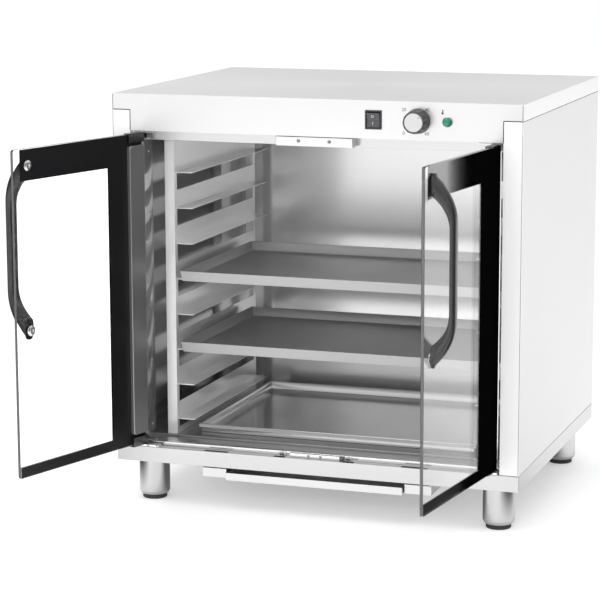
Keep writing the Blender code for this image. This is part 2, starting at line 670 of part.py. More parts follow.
def profile_outline(side):
    """The hinge-side stiffener in X and Z, with its free corners rounded."""
    r = PROFILE_ROUNDING
    low, high = DOOR_BOTTOM + PROFILE_END_GAP, DOOR_TOP - PROFILE_END_GAP
    quarter = math.pi / 2
    points = [(-PROFILE_TAIL, low)]
    points += arc_points((PROFILE_REACH - r, low + r), r, -quarter, 0, CORNER_STEPS)
    points += arc_points((PROFILE_REACH - r, high - r), r, 0, quarter, CORNER_STEPS)
    points.append((-PROFILE_TAIL, high))
    return [(-side * x, z) for x, z in points]


def clamp_outline(end, edge):
    """A clamp's L section in Y and Z: a bridge over one edge of the glass and a thick plate behind it."""
    slot = HALF_GLASS + SEAT_GAP
    back = slot + CLAMP_PLATE
    seat, grip, outer = SEAT_GAP, -CLAMP_GRIP, SEAT_GAP + CLAMP_BRIDGE
    points = [(-HALF_GLASS, seat), (-HALF_GLASS, outer), (back, outer), (back, grip), (slot, grip), (slot, seat)]
    return [(y, edge + end * z) for y, z in points]


def handle_outline():
    """The bowed handle seen from its side, in outward reach and height from its middle."""
    half = HANDLE_LENGTH / 2
    upper = []
    for i in range(HANDLE_STEPS + 1):
        t = i / HANDLE_STEPS
        reach = HANDLE_REACH * (1 - (1 - t) ** HANDLE_CURVE_POWER_SHARE)
        upper.append((max(reach, HANDLE_THICKNESS / 3), half - HANDLE_RISE * t))
    inner = []
    inner_rise = HANDLE_RISE + HANDLE_THICKNESS - HANDLE_FOOT
    for i in range(HANDLE_STEPS + 1):
        t = i / HANDLE_STEPS
        reach = (HANDLE_REACH - HANDLE_THICKNESS) * (1 - (1 - t) ** HANDLE_CURVE_POWER_SHARE)
        inner.append((reach, half - HANDLE_FOOT - inner_rise * t))
    outer_side = upper + [(out, -z) for out, z in reversed(upper)]
    inner_side = inner + [(out, -z) for out, z in reversed(inner)]
    return [(0, half)] + outer_side + [(0, -half)] + list(reversed(inner_side))


def build_handle(word, side, pivot, finishes):
    """One door's bowed handle, with the two screws that hold it through the glass."""
    x = -side * (DOOR_REACH - HANDLE_FROM_EDGE)
    middle = DOOR_TOP - HANDLE_BELOW_TOP - HANDLE_LENGTH / 2
    face = -HALF_GLASS - SEAT_GAP
    outline = [(face - out, z) for out, z in handle_outline()]
    handle = loft(word + "_handle", prism_x(outline, -HANDLE_WIDTH / 2, HANDLE_WIDTH / 2),
                  finishes["black_plastic"], pivot, (x, 0, middle))
    bevel = handle.modifiers.new("rounded_edges", "BEVEL")
    bevel.width = HANDLE_EDGE_ROUNDING
    bevel.segments = 2
    bevel.limit_method = "ANGLE"
    bevel.angle_limit = math.radians(60)
    handle.data.shade_smooth()
    handle.data.set_sharp_from_angle(angle=math.radians(40))

    radius = SCREW_SHANK_RADIUS + SCREW_CLEARANCE
    bite = face - SCREW_BITE - SEAT_GAP
    screw_rise = HANDLE_LENGTH / 2 - SCREW_INSET
    blind = [[[(px, py, pz + end * screw_rise) for px, py, pz in circle_y(radius, y, SCREW_SIDES)]
              for y in (bite, HALF_GLASS + CUT_OVERRUN)] for end in (-1, 1)]
    drill = operand(word + "_screw_hole_cutter", pivot, lofts=blind, location=(x, 0, middle))
    combine(handle, drill, "DIFFERENCE")

    under = HALF_GLASS + SEAT_GAP
    crown = under + SCREW_HEAD_HEIGHT
    rings = [circle_y(SCREW_SHANK_RADIUS, bite + SEAT_GAP, SCREW_SIDES),
             circle_y(SCREW_SHANK_RADIUS, under, SCREW_SIDES),
             circle_y(SCREW_HEAD_RADIUS, under, SCREW_SIDES),
             circle_y(SCREW_HEAD_RADIUS, under + SCREW_RIM, SCREW_SIDES),
             circle_y((SCREW_HEAD_RADIUS + SCREW_SOCKET_RADIUS) / 2, crown - SCREW_RIM / 2, SCREW_SIDES),
             circle_y(SCREW_SOCKET_RADIUS, crown, SCREW_SIDES),
             circle_y(SCREW_SOCKET_RADIUS, crown - SCREW_SOCKET_DEPTH, SCREW_SIDES)]
    for end, place in ((1, "upper"), (-1, "lower")):
        loft(f"{word}_handle_{place}_screw", rings, finishes["bright_steel"], pivot,
             (x, 0, middle + end * screw_rise), math.radians(50))
    return drill


def build_pivot_bracket(name, side, end, root, material):
    """A fixed plate with the pin that a door turns on, at the head or at the sill."""
    edge = DOOR_TOP if end > 0 else DOOR_BOTTOM
    tip = edge + end * 2 * SEAT_GAP
    if end > 0:
        inner = DOOR_TOP + SEAT_GAP + CLAMP_BRIDGE + SEAT_GAP
        outer = inner + BRACKET_THICKNESS
        y_back = RAIL_FRONT - SEAT_GAP - PIVOT_SETBACK
    else:
        inner = DOOR_BOTTOM - SEAT_GAP - CLAMP_BRIDGE - SEAT_GAP
        outer = BASE_TOP + SEAT_GAP
        y_back = BRACKET_BOTTOM_DEPTH - PIVOT_SETBACK
    x = side * (HALF_WIDTH - PIVOT_INSET)
    plate = box(name, (side * BRACKET_TAIL, -BRACKET_NOSE, inner), (-side * BRACKET_REACH, y_back, outer),
                material, root, (x, PIVOT_SETBACK, 0))
    middle = (inner + outer) / 2
    pin = operand(name + "_pin", root, lofts=[[circle_z(PIN_RADIUS, z, SCREW_SIDES) for z in sorted((tip, middle))]],
                  location=(x, PIVOT_SETBACK, 0))
    combine(plate, pin, "UNION")


def build_door(side, word, angle, root, finishes):
    """One glass door on its pivot, with its stiffener, clamps, handle and fixed pivot brackets."""
    x = side * (HALF_WIDTH - PIVOT_INSET)
    pivot = add_empty(word + "_door_pivot", root, (x, PIVOT_SETBACK, 0))
    glass = loft(word + "_door_glass", prism_y(glass_outline(side), -HALF_GLASS, HALF_GLASS),
                 finishes["door_glass"], pivot)
    inner = HALF_GLASS + SEAT_GAP
    loft(word + "_door_stiffener", prism_y(profile_outline(side), inner, inner + PROFILE_THICKNESS),
         finishes["dark_metal"], pivot)
    for end, place, edge in ((1, "upper", DOOR_TOP), (-1, "lower", DOOR_BOTTOM)):
        xs = sorted((side * CLAMP_TAIL, -side * CLAMP_REACH))
        clamp = loft(f"{word}_{place}_clamp", prism_x(clamp_outline(end, edge), *xs),
                     finishes["dark_metal"], pivot)
        hole = [circle_z(PIN_RADIUS + PIN_CLEARANCE, z, SCREW_SIDES)
                for z in sorted((edge - end * HALF_GLASS / 2, edge + end * (CLAMP_BRIDGE + CUT_OVERRUN)))]
        combine(clamp, operand(f"{word}_{place}_pin_hole_cutter", pivot, lofts=[hole]), "DIFFERENCE")
        build_pivot_bracket(f"{word}_{place}_pivot_bracket", side, end, root, finishes["bright_steel"])
    combine(glass, build_handle(word, side, pivot, finishes), "DIFFERENCE")
    pivot.rotation_euler = (0, 0, side * angle)


def build_catches(root, finishes):
    """The magnet housings that hold the closed doors at the head and at the sill."""
    steel = finishes["satin_steel"]
    r = TOP_CATCH_ROUNDING
    high = FASCIA_BOTTOM - TOP_CATCH_BELOW
    low, back = high - TOP_CATCH_HEIGHT, RAIL_FRONT - SEAT_GAP
    outline = [(CATCH_FRONT, low)] + arc_points((back - r, low + r), r, -math.pi / 2, 0, CORNER_STEPS)
    outline += [(back, high), (CATCH_FRONT, high)]
    loft("top_door_catch", prism_x(outline, -TOP_CATCH_WIDTH / 2, TOP_CATCH_WIDTH / 2), steel, root)
    r = BOTTOM_CATCH_ROUNDING
    low, back = BASE_TOP + SEAT_GAP, LIP_FRONT - SEAT_GAP
    high = low + BOTTOM_CATCH_HEIGHT
    outline = [(CATCH_FRONT, low), (back, low), (back, high)]
    outline += arc_points((CATCH_FRONT + r, high - r), r, math.pi / 2, math.pi, CORNER_STEPS)
    loft("bottom_door_catch", prism_x(outline, -BOTTOM_CATCH_WIDTH / 2, BOTTOM_CATCH_WIDTH / 2), steel, root)


def build_switch(root, finishes):
    """The mains switch: a housing clipped into the fascia and its rocker."""
    place = (SWITCH_X, 0, BODY_TOP - CONTROL_BELOW_TOP)
    half_x, half_z = SWITCH_WIDTH / 2, SWITCH_HEIGHT / 2
    recess_x, recess_z = half_x - SWITCH_WALL, half_z - SWITCH_WALL
    body_x, body_z = half_x - SWITCH_BODY_INSET, half_z - SWITCH_BODY_INSET
    front = -SEAT_GAP - SWITCH_FLANGE
    loft("switch_housing", [upright_rectangle(recess_x, recess_z, SWITCH_RECESS),
                            upright_rectangle(recess_x, recess_z, front),
                            upright_rectangle(half_x, half_z, front),
                            upright_rectangle(half_x, half_z, -SEAT_GAP),
                            upright_rectangle(body_x, body_z, -SEAT_GAP),
                            upright_rectangle(body_x, body_z, SWITCH_BODY_DEPTH)],
         finishes["black_plastic"], root, place)
    half = recess_z - ROCKER_CLEARANCE
    outline = [(-ROCKER_CREST, half), (-ROCKER_VALLEY, 0), (-ROCKER_CREST, -half),
               (0, -half), (ROCKER_BACK, -ROCKER_BACK_HALF), (ROCKER_BACK, ROCKER_BACK_HALF), (0, half)]
    empty = add_empty("switch_rocker_pivot", root, (SWITCH_X, ROCKER_PIVOT_DEPTH, place[2]))
    width = recess_x - ROCKER_CLEARANCE / 2
    loft("switch_rocker", prism_x(outline, -width, width), finishes["black_plastic"], empty)
    empty.rotation_euler = (ROCKER_TILT, 0, 0)


def build_thermostat(root, finishes):
    """The thermostat behind the fascia, the dial on its shaft and the disc in the dial's face."""
    place = (DIAL_X, 0, BODY_TOP - CONTROL_BELOW_TOP)
    body_front = SHEET + SEAT_GAP
    loft("thermostat_body", [circle_y(THERMOSTAT_RADIUS, body_front + THERMOSTAT_DEPTH, LAMP_SIDES),
                             circle_y(THERMOSTAT_RADIUS, body_front, LAMP_SIDES),
                             circle_y(SHAFT_RADIUS, body_front, LAMP_SIDES),
                             circle_y(SHAFT_RADIUS, -SHAFT_REACH, LAMP_SIDES)],
         finishes["dark_metal"], root, place, math.radians(35))
    empty = add_empty("thermostat_dial_pivot", root, place)
    face = -DIAL_STANDOFF - DIAL_REACH
    bore = SHAFT_RADIUS + SHAFT_CLEARANCE
    sides, lobes = DIAL_SIDES, DIAL_LOBES
    rings = [circle_y(bore, -SHAFT_REACH - SEAT_GAP, sides),
             circle_y(bore, -DIAL_STANDOFF, sides),
             circle_y(DIAL_BASE_RADIUS, -DIAL_STANDOFF, sides),
             circle_y(DIAL_BASE_RADIUS, -DIAL_STANDOFF - DIAL_SKIRT, sides, lobes, DIAL_LOBE_SHARE),
             circle_y(DIAL_FACE_RADIUS, face + DIAL_CHAMFER, sides, lobes, DIAL_LOBE_SHARE),
             circle_y(DIAL_FACE_RADIUS - DIAL_CHAMFER / 2, face, sides),
             circle_y(DIAL_RECESS_RADIUS, face, sides),
             circle_y(DIAL_RECESS_RADIUS, face + DIAL_RECESS_DEPTH, sides)]
    loft("thermostat_dial", rings, finishes["black_plastic"], empty, smooth_angle=math.radians(30))
    seat = face + DIAL_RECESS_DEPTH - SEAT_GAP
    loft("dial_face_disc", [circle_y(DIAL_RECESS_RADIUS - SEAT_GAP, y, sides)
                            for y in (seat, seat - DIAL_DISC_THICKNESS)], finishes["pale_plastic"], empty)


def build_lamp(root, finishes):
    """The pilot lamp: a bezel through the fascia and a green lens seated in it."""
    place = (LAMP_X, 0, BODY_TOP - CONTROL_BELOW_TOP)
    front = -SEAT_GAP - LAMP_BEZEL_REACH
    recess = LAMP_LENS_RADIUS + SEAT_GAP
    floor = front + LAMP_RECESS
    loft("pilot_lamp_bezel", [circle_y(recess, floor, LAMP_SIDES),
                              circle_y(recess, front, LAMP_SIDES),
                              circle_y(LAMP_BEZEL_RADIUS - LAMP_BEZEL_LIP, front, LAMP_SIDES),
                              circle_y(LAMP_BEZEL_RADIUS, front + LAMP_BEZEL_LIP, LAMP_SIDES),
                              circle_y(LAMP_BEZEL_RADIUS, -SEAT_GAP, LAMP_SIDES),
                              circle_y(LAMP_BODY_RADIUS, -SEAT_GAP, LAMP_SIDES),
                              circle_y(LAMP_BODY_RADIUS, LAMP_BODY_DEPTH, LAMP_SIDES)],
         finishes["bright_steel"], root, place, math.radians(35))
    base = floor - SEAT_GAP
    tip = -LAMP_LENS_REACH
    rings = [circle_y(LAMP_LENS_RADIUS, base, LAMP_SIDES),
             circle_y(LAMP_LENS_RADIUS, tip + LAMP_LENS_DOME, LAMP_SIDES)]
    steps = CORNER_STEPS
    for i in range(1, steps):
        angle = math.pi / 2 * i / steps
        rings.append(circle_y(LAMP_LENS_RADIUS * math.cos(angle),
                              tip + LAMP_LENS_DOME * (1 - math.sin(angle)), LAMP_SIDES))
    loft("pilot_lamp_lens", rings, finishes["green_lens"], root, place, math.radians(50))


def gland_place():
    """Place of the cable gland on the back panel."""
    return HALF_WIDTH - GLAND_INSET, BASE_TOP + GLAND_RISE


def build_services(root, finishes):
    """The heater under the base top and the cable gland in the back panel."""
    heater_top = BASE_TOP - SHEET - SEAT_GAP
    middle = (PAN_FRONT + PAN_FRONT + PAN_DEPTH) / 2
    box("heater_plate", (-HEATER_WIDTH / 2, middle - HEATER_DEPTH / 2, heater_top - HEATER_THICKNESS),
        (HEATER_WIDTH / 2, middle + HEATER_DEPTH / 2, heater_top), finishes["heater_foil"], root)
    x, z = gland_place()
    outside = BODY_DEPTH + SEAT_GAP
    nose = outside + GLAND_NOSE_REACH
    rings = [circle_y(GLAND_MOUTH_RADIUS, nose - GLAND_MOUTH_DEPTH, GLAND_SIDES),
             circle_y(GLAND_MOUTH_RADIUS, nose, GLAND_SIDES),
             circle_y(GLAND_NOSE_RADIUS, nose, GLAND_SIDES),
             circle_y(GLAND_NOSE_RADIUS, outside + GLAND_HEX_REACH, GLAND_SIDES),
             circle_y(GLAND_HEX_RADIUS, outside + GLAND_HEX_REACH, GLAND_SIDES),
             circle_y(GLAND_HEX_RADIUS, outside, GLAND_SIDES),
             circle_y(GLAND_THREAD_RADIUS, outside, GLAND_SIDES),
             circle_y(GLAND_THREAD_RADIUS, BODY_DEPTH - GLAND_THREAD_DEPTH, GLAND_SIDES)]
    loft("cable_gland", rings, finishes["black_plastic"], root, (x, 0, z), math.radians(35))


def centre_footprint(root):
    """Move the root so that the middle of the whole footprint lies at the origin."""
    bpy.context.view_layer.update()
    graph = bpy.context.evaluated_depsgraph_get()
    places = []
    for item in bpy.data.objects:
        if item.type == "MESH" and not item.hide_render:
            places += [item.matrix_world @ vertex.co for vertex in item.evaluated_get(graph).data.vertices]
    xs, ys = [place.x for place in places], [place.y for place in places]
    root.location = (-(min(xs) + max(xs)) / 2, -(min(ys) + max(ys)) / 2, 0)
    bpy.context.view_layer.update()


def main():
    """Build the whole cabinet."""
    clear_scene()
    finishes = make_materials()
    root = add_empty("cabinet_origin", None)
    build_base(root, finishes)
    build_panels(root, finishes)
    build_liner(root, finishes)
    build_racks(root, finishes)
    build_trays(root, finishes)
    build_legs(root, finishes)
    build_drip_tray(root, finishes)
    build_door(-1, "left", LEFT_DOOR_OPEN, root, finishes)
    build_door(1, "right", RIGHT_DOOR_OPEN, root, finishes)
    build_catches(root, finishes)
    build_switch(root, finishes)
    build_thermostat(root, finishes)
    build_lamp(root, finishes)
    build_services(root, finishes)
    centre_footprint(root)


main()
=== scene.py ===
"""The proofing cabinet's looks: finishes, small fittings, light and camera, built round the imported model."""

import json
import math

import bmesh
import bpy
from mathutils import Matrix, Vector


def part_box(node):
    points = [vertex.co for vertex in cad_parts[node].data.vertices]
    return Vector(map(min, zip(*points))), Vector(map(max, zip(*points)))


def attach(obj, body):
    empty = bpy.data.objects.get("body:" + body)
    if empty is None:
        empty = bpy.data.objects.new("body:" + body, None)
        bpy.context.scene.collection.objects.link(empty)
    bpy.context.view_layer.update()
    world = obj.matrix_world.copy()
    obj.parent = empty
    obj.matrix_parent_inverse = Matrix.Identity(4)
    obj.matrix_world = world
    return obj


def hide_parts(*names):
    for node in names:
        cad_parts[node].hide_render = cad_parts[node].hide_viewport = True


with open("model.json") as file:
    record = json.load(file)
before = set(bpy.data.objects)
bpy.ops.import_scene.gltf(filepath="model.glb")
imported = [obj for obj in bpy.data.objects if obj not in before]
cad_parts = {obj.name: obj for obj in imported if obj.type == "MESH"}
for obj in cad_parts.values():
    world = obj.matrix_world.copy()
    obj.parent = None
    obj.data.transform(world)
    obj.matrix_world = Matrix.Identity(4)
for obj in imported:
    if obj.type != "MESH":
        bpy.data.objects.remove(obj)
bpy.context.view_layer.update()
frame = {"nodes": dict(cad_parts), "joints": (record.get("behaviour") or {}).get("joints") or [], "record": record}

MM = 0.001
BASE_LOW, BASE_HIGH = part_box("base_frame")
MIDDLE_X = (BASE_LOW.x + BASE_HIGH.x) / 2
FRONT_Y = BASE_LOW.y
BASE_TOP = BASE_HIGH.z
BODY_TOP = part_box("top_cover")[1].z

# The body's main planes, as the CAD has them
HALF_WIDTH, DEPTH = 400 * MM, 642 * MM
LID_LOW = 769 * MM
PANEL_HALF, PANEL_LOW = 363 * MM, 729 * MM

# The doors: half the glass's thickness, the turn at rest in degrees, and the black print's measures
HALF_GLASS = 3 * MM
DOOR_ANGLES = {"left": -107.0, "right": 83.5}
DOOR_REACH = 347 * MM
PRINT_INSET = 16.5 * MM
PRINT_BAND = 88 * MM
PRINT_THICK = 0.10 * MM

# Directions
TO_FRONT = (0, -1, 0)
UPWARD = (0, 0, 1)


def at(x, y, z):
    """A point given from the middle of the front face."""
    return Vector((MIDDLE_X + x, FRONT_Y + y, z))


# ---------------------------------------------------------------- materials

class Tree:
    """A material's node tree, with short calls to add nodes."""

    def __init__(self, name):
        self.material = bpy.data.materials.new(name)
        self.material.use_nodes = True
        self.tree = self.material.node_tree
        self.shader = self.tree.nodes["Principled BSDF"]

    def node(self, kind, settings=None, **inputs):
        made = self.tree.nodes.new(kind)
        for key, value in (settings or {}).items():
            setattr(made, key, value)
        for key, value in inputs.items():
            self.feed(made, key.replace("_", " "), value)
        return made

    def feed(self, node, key, value):
        """Set an input or link to it: by its name, or by its number as i0, i1 and so on."""
        numbered = key[0] == "i" and key[1:].isdigit()
        socket = node.inputs[int(key[1:]) if numbered else key]
        if isinstance(value, bpy.types.NodeSocket):
            self.tree.links.new(value, socket)
        elif isinstance(value, (tuple, list)) and len(value) == 3 and socket.type == "RGBA":
            socket.default_value = (*value, 1.0)
        else:
            socket.default_value = value

    def coords(self, scale):
        place = self.node("ShaderNodeTexCoord")
        return self.node("ShaderNodeMapping", Vector=place.outputs["Object"], Scale=scale).outputs["Vector"]

    def noise(self, scale, detail, rough=0.5):
        """Noise with a scale for each axis, or with one number for all three."""
        place = self.coords(scale if isinstance(scale, tuple) else (scale, scale, scale))
        made = self.node("ShaderNodeTexNoise", Vector=place, Scale=1.0, Detail=detail, Roughness=rough)
        return made.outputs["Fac"]

    def remap(self, value, low, high, from_low=0.3, from_high=0.7):
        made = self.node("ShaderNodeMapRange", i0=value, i1=from_low, i2=from_high, i3=low, i4=high)
        return made.outputs["Result"]

    def mix(self, fac, a, b):
        made = self.node("ShaderNodeMix", {"data_type": "RGBA"}, i0=fac)
        for index, value in ((6, a), (7, b)):
            if isinstance(value, bpy.types.NodeSocket):
                self.tree.links.new(value, made.inputs[index])
            else:
                made.inputs[index].default_value = (*value, 1.0)
        return made.outputs[2]

    def math(self, operation, a, b=0.5, clamp=False):
        made = self.node("ShaderNodeMath", {"operation": operation, "use_clamp": clamp}, i0=a, i1=b)
        return made.outputs[0]

    def bump(self, height, strength, distance):
        made = self.node("ShaderNodeBump", Height=height, Strength=strength, Distance=distance)
        return made.outputs["Normal"]

    def principled(self, **inputs):
        for key, value in inputs.items():
            self.feed(self.shader, key.replace("_", " "), value)
        return self.material


STREAK_SCALE = 5.0


def grey(value):
    return (value, value, value)


def steel(name, tone, rough, grain, streak, cloud, cloud_size, bump=0.02, scratch=0.0, fine=700.0,
          metal=1.0, spread=0.3, turned=0.0):
    """Brushed or rolled stainless steel: fine streaks along one axis under a soft cloudiness. The spread
    stretches the reflections one way, and turned is that way's direction as a share of a full turn."""
    tree = Tree(name)
    scale = [fine, fine, fine]
    scale["xyz".index(grain)] = STREAK_SCALE
    lines = tree.noise(tuple(scale), 3.0)
    broad = tree.noise(cloud_size, 2.0)
    low, high = tone * (1 - streak), min(1.0, tone * (1 + streak))
    streaked = tree.mix(tree.remap(lines, 0.0, 1.0), grey(low), grey(high))
    colour = tree.mix(tree.remap(broad, 0.0, 1.0), streaked, grey(tone * (1 - cloud)))
    roughness = tree.remap(lines, rough * 0.975, rough * 1.03)
    if scratch:
        marks = tree.noise(160.0, 6.0, 0.75)
        roughness = tree.math("ADD", roughness, tree.remap(marks, 0.0, scratch, 0.55, 0.75))
    return tree.principled(Base_Color=colour, Metallic=metal, Roughness=roughness, Anisotropic=spread,
                           Anisotropic_Rotation=turned, Normal=tree.bump(lines, bump, 0.0002))


def plastic(name, colour, rough, grain=700.0, bump=0.12, variation=0.12, coat=0.0):
    """Moulded plastic with a fine spark texture."""
    tree = Tree(name)
    spark = tree.noise(grain, 2.0)
    broad = tree.noise(25.0, 2.0)
    dark = tuple(c * (1 - variation) for c in colour)
    light = tuple(min(1.0, c * (1 + variation)) for c in colour)
    return tree.principled(Base_Color=tree.mix(tree.remap(broad, 0.0, 1.0), dark, light),
                           Roughness=tree.remap(spark, rough * 0.9, rough * 1.15), Coat_Weight=coat,
                           Normal=tree.bump(spark, bump, 0.0001))


def along_door(tree, pivot, along):
    """The distance from the pivot along one direction of a door, in its rest place."""
    place = tree.node("ShaderNodeTexCoord")
    away = tree.node("ShaderNodeVectorMath", {"operation": "SUBTRACT"}, i0=place.outputs["Object"],
                     i1=tuple(pivot))
    reach = tree.node("ShaderNodeVectorMath", {"operation": "DOT_PRODUCT"}, i0=away.outputs[0], i1=tuple(along))
    return reach.outputs["Value"]


def glass(name, pivot, along, across):
    """Clear toughened glass, faintly smeared, with a ground band along its free edge."""
    tree = Tree(name)
    smear = tree.noise((9.0, 9.0, 3.0), 5.0, 0.6)
    edge = tree.remap(along_door(tree, pivot, along), 0.0, 1.0, DOOR_REACH - 0.6 * MM, DOOR_REACH - 0.2 * MM)
    aside = tree.math("ABSOLUTE", along_door(tree, pivot, across), 0.0)
    edge = tree.math("MULTIPLY", edge, tree.remap(aside, 1.0, 0.0, 1.5 * MM, 2.1 * MM))
    smooth = tree.remap(smear, 0.0, 0.012, 0.4, 0.8)
    return tree.principled(Base_Color=tree.mix(edge, (0.988, 0.993, 0.991), grey(0.10)),
                           Roughness=tree.math("ADD", smooth, tree.math("MULTIPLY", edge, 0.5), True),
                           Transmission_Weight=tree.math("SUBTRACT", 1.0, edge, True), IOR=1.45,
                           Specular_IOR_Level=0.35)


def print_black(name):
    """Black ceramic print on the glass: dense and satin."""
    tree = Tree(name)
    fine = tree.noise(350.0, 3.0)
    return tree.principled(Base_Color=tree.mix(fine, (0.005, 0.005, 0.006), (0.011, 0.011, 0.012)),
                           Roughness=tree.remap(fine, 0.28, 0.38), Specular_IOR_Level=0.22)


def painted_shade_fade(name, pivot, along, solid, clear):
    """Painted shade hiding the glass's reflection: solid at the hinge, thin low on the door, and fading out along
    its top band.
    """
    tree = Tree(name)
    fine = tree.noise(350.0, 3.0)
    fade = tree.remap(along_door(tree, pivot, along), 1.0, 0.0, solid, clear)
    height = tree.node("ShaderNodeSeparateXYZ", i0=tree.coords((1.0, 1.0, 1.0)))
    cover = tree.math("MAXIMUM", fade, tree.remap(height.outputs["Z"], 0.45, 0.0, 0.20, 0.30))
    return tree.principled(Base_Color=tree.mix(fine, (0.0012, 0.0012, 0.0014), (0.0026, 0.0026, 0.0028)),
                           Roughness=tree.remap(fine, 0.6, 0.75), Specular_IOR_Level=0.0, Alpha=cover)


def lens(name, colour):
    """A translucent green lens with a ribbed inside."""
    tree = Tree(name)
    place = tree.node("ShaderNodeTexCoord")
    wave = tree.node("ShaderNodeTexWave", {"wave_type": "BANDS", "bands_direction": "X"},
                     Vector=place.outputs["Object"], Scale=260.0, Distortion=0.4)
    tone = tree.remap(wave.outputs["Fac"], 0.0, 1.0, 0.0, 1.0)
    dark = tuple(c * 0.55 for c in colour)
    return tree.principled(Base_Color=tree.mix(tone, dark, colour),
                           Roughness=tree.remap(tone, 0.10, 0.22, 0.0, 1.0),
                           Transmission_Weight=0.25, Coat_Weight=0.6, Coat_Roughness=0.05)


def rubber(name):
    """Moulded black rubber or nylon."""
    tree = Tree(name)
    spark = tree.noise(500.0, 4.0)
    return tree.principled(Base_Color=tree.mix(spark, (0.018, 0.018, 0.019), (0.034, 0.034, 0.035)),
                           Roughness=tree.remap(spark, 0.45, 0.65), Normal=tree.bump(spark, 0.2, 0.0002))


def dial_disc(name, centre):
    """The dial's silver disc: spun rings round its middle."""
    tree = Tree(name)
    place = tree.node("ShaderNodeTexCoord")
    shifted = tree.node("ShaderNodeVectorMath", {"operation": "SUBTRACT"}, i0=place.outputs["Object"],
                        i1=tuple(centre))
    reach = tree.node("ShaderNodeVectorMath", {"operation": "LENGTH"}, i0=shifted.outputs[0])
    rings = tree.node("ShaderNodeTexNoise", {"noise_dimensions": "1D"},
                      W=tree.math("MULTIPLY", reach.outputs["Value"], 9000.0), Scale=1.0, Detail=2.0)
    fac = tree.remap(rings.outputs["Fac"], 0.0, 1.0)
    return tree.principled(Base_Color=tree.mix(fac, grey(0.56), grey(0.63)), Metallic=0.35,
                           Roughness=tree.remap(rings.outputs["Fac"], 0.34, 0.46),
                           Normal=tree.bump(fac, 0.05, 0.00005))


# For steel: name, tone, roughness, grain, streak, cloud, cloud size, bump, scratch, fine
# For plastic: name, colour, roughness, grain, bump, variation
FINISH = {
    "lid": steel("lid_steel", 0.91, 0.30, "x", 0.003, 0.02, 3.0, 0.002, metal=0.88),
    "side": steel("side_steel", 0.90, 0.50, "z", 0.003, 0.02, 3.0, 0.002, metal=0.28),
    # The plinth and the drip tray are darker copies of the body steel: painted shade low down by the floor
    "base": steel("base_steel", 0.65, 0.30, "x", 0.006, 0.02, 3.0, 0.005, metal=0.9),
    "drip": steel("drip_steel", 0.75, 0.30, "x", 0.006, 0.02, 3.0, 0.005, metal=0.9),
    "frame_x": steel("frame_steel", 0.90, 0.22, "x", 0.02, 0.02, 5.0),
    # The head rail is a darker copy of the frame steel: painted shade in its recess behind the fascia
    "rail": steel("head_rail_steel", 0.78, 0.22, "x", 0.02, 0.03, 5.0),
    # The liner's pieces share one steel; their tones are painted light and shade: lightest on the back wall,
    # darker on the ceiling, the folded returns and the side walls, darkest on the floor
    "return": steel("liner_return_steel", 0.72, 0.16, "z", 0.02, 0.04, 5.0, metal=0.8),
    "liner_side": steel("liner_steel_side", 0.60, 0.13, "y", 0.02, 0.08, 4.0, 0.03, 0.04, 500.0,
                        metal=0.9, spread=0.85, turned=0.25),
    "liner_back": steel("liner_steel_back", 0.97, 0.22, "x", 0.012, 0.03, 3.0, 0.02, 0.02, 420.0,
                        metal=0.84, spread=0.72, turned=0.25),
    "liner_x": steel("liner_steel_level", 0.76, 0.16, "x", 0.02, 0.06, 4.0, 0.03, 0.05, metal=0.65),
    "liner_floor": steel("liner_steel_floor", 0.36, 0.15, "x", 0.02, 0.06, 4.0, 0.03, 0.05, metal=0.85),
    "bezel": steel("bezel_steel", 0.55, 0.20, "z", 0.03, 0.04, 30.0),
    "rack": steel("rack_steel", 0.97, 0.22, "y", 0.008, 0.02, 7.0, 0.01, metal=0.58),
    "tray": steel("tray_steel_sheet", 0.44, 0.32, "x", 0.02, 0.06, 9.0, 0.015, 0.04, metal=0.55),
    "pan": steel("pan_steel", 0.84, 0.17, "x", 0.02, 0.06, 6.0, 0.02, 0.04, metal=0.92),
    "leg": steel("leg_steel", 0.60, 0.15, "z", 0.01, 0.02, 10.0, 0.01),
    "bright": steel("bright_fitting", 0.86, 0.14, "z", 0.03, 0.04, 30.0),
    "fixing": steel("screw_steel", 0.36, 0.22, "z", 0.03, 0.06, 30.0),
    # The stiffeners are a darker copy of the satin steel: painted shade for the dark surroundings they mirror
    "stiffener": steel("stiffener_steel", 0.46, 0.34, "z", 0.01, 0.05, 4.0, 0.01, metal=0.9),
    "clamp": steel("clamp_steel", 0.17, 0.24, "x", 0.03, 0.10, 30.0),
    "foil": steel("heater_foil_sheet", 0.60, 0.42, "x", 0.08, 0.18, 14.0, 0.25),
    "black": plastic("black_moulding", (0.030, 0.030, 0.032), 0.36),
    "handle": plastic("handle_moulding", (0.019, 0.019, 0.020), 0.20, 900.0, 0.03, coat=0.30),
    "rocker": plastic("rocker_moulding", (0.070, 0.070, 0.073), 0.32),
    "white": plastic("white_print", (0.75, 0.75, 0.75), 0.45, 900.0, 0.02, 0.03),
    # Grey print; also a painted shade line on the lid's corner folds
    "ink_and_fold_shade": plastic("grey_print_and_fold_shade", (0.055, 0.055, 0.058), 0.50, 900.0, 0.02, 0.10),
    # Painted shade lines on the panels' corner folds
    "fold": plastic("fold_shade_line", (0.16, 0.16, 0.165), 0.50, 900.0, 0.02, 0.10),
    # Painted shade in the seams and in the ledge's openings
    "dark": plastic("slot_and_seam_shade", (0.012, 0.012, 0.012), 0.60),
    "print": print_black("door_print"),
    "lens": lens("green_lens_ribbed", (0.015, 0.34, 0.21)),
    "rubber": rubber("foot_rubber"),
}


# ---------------------------------------------------------------- meshes

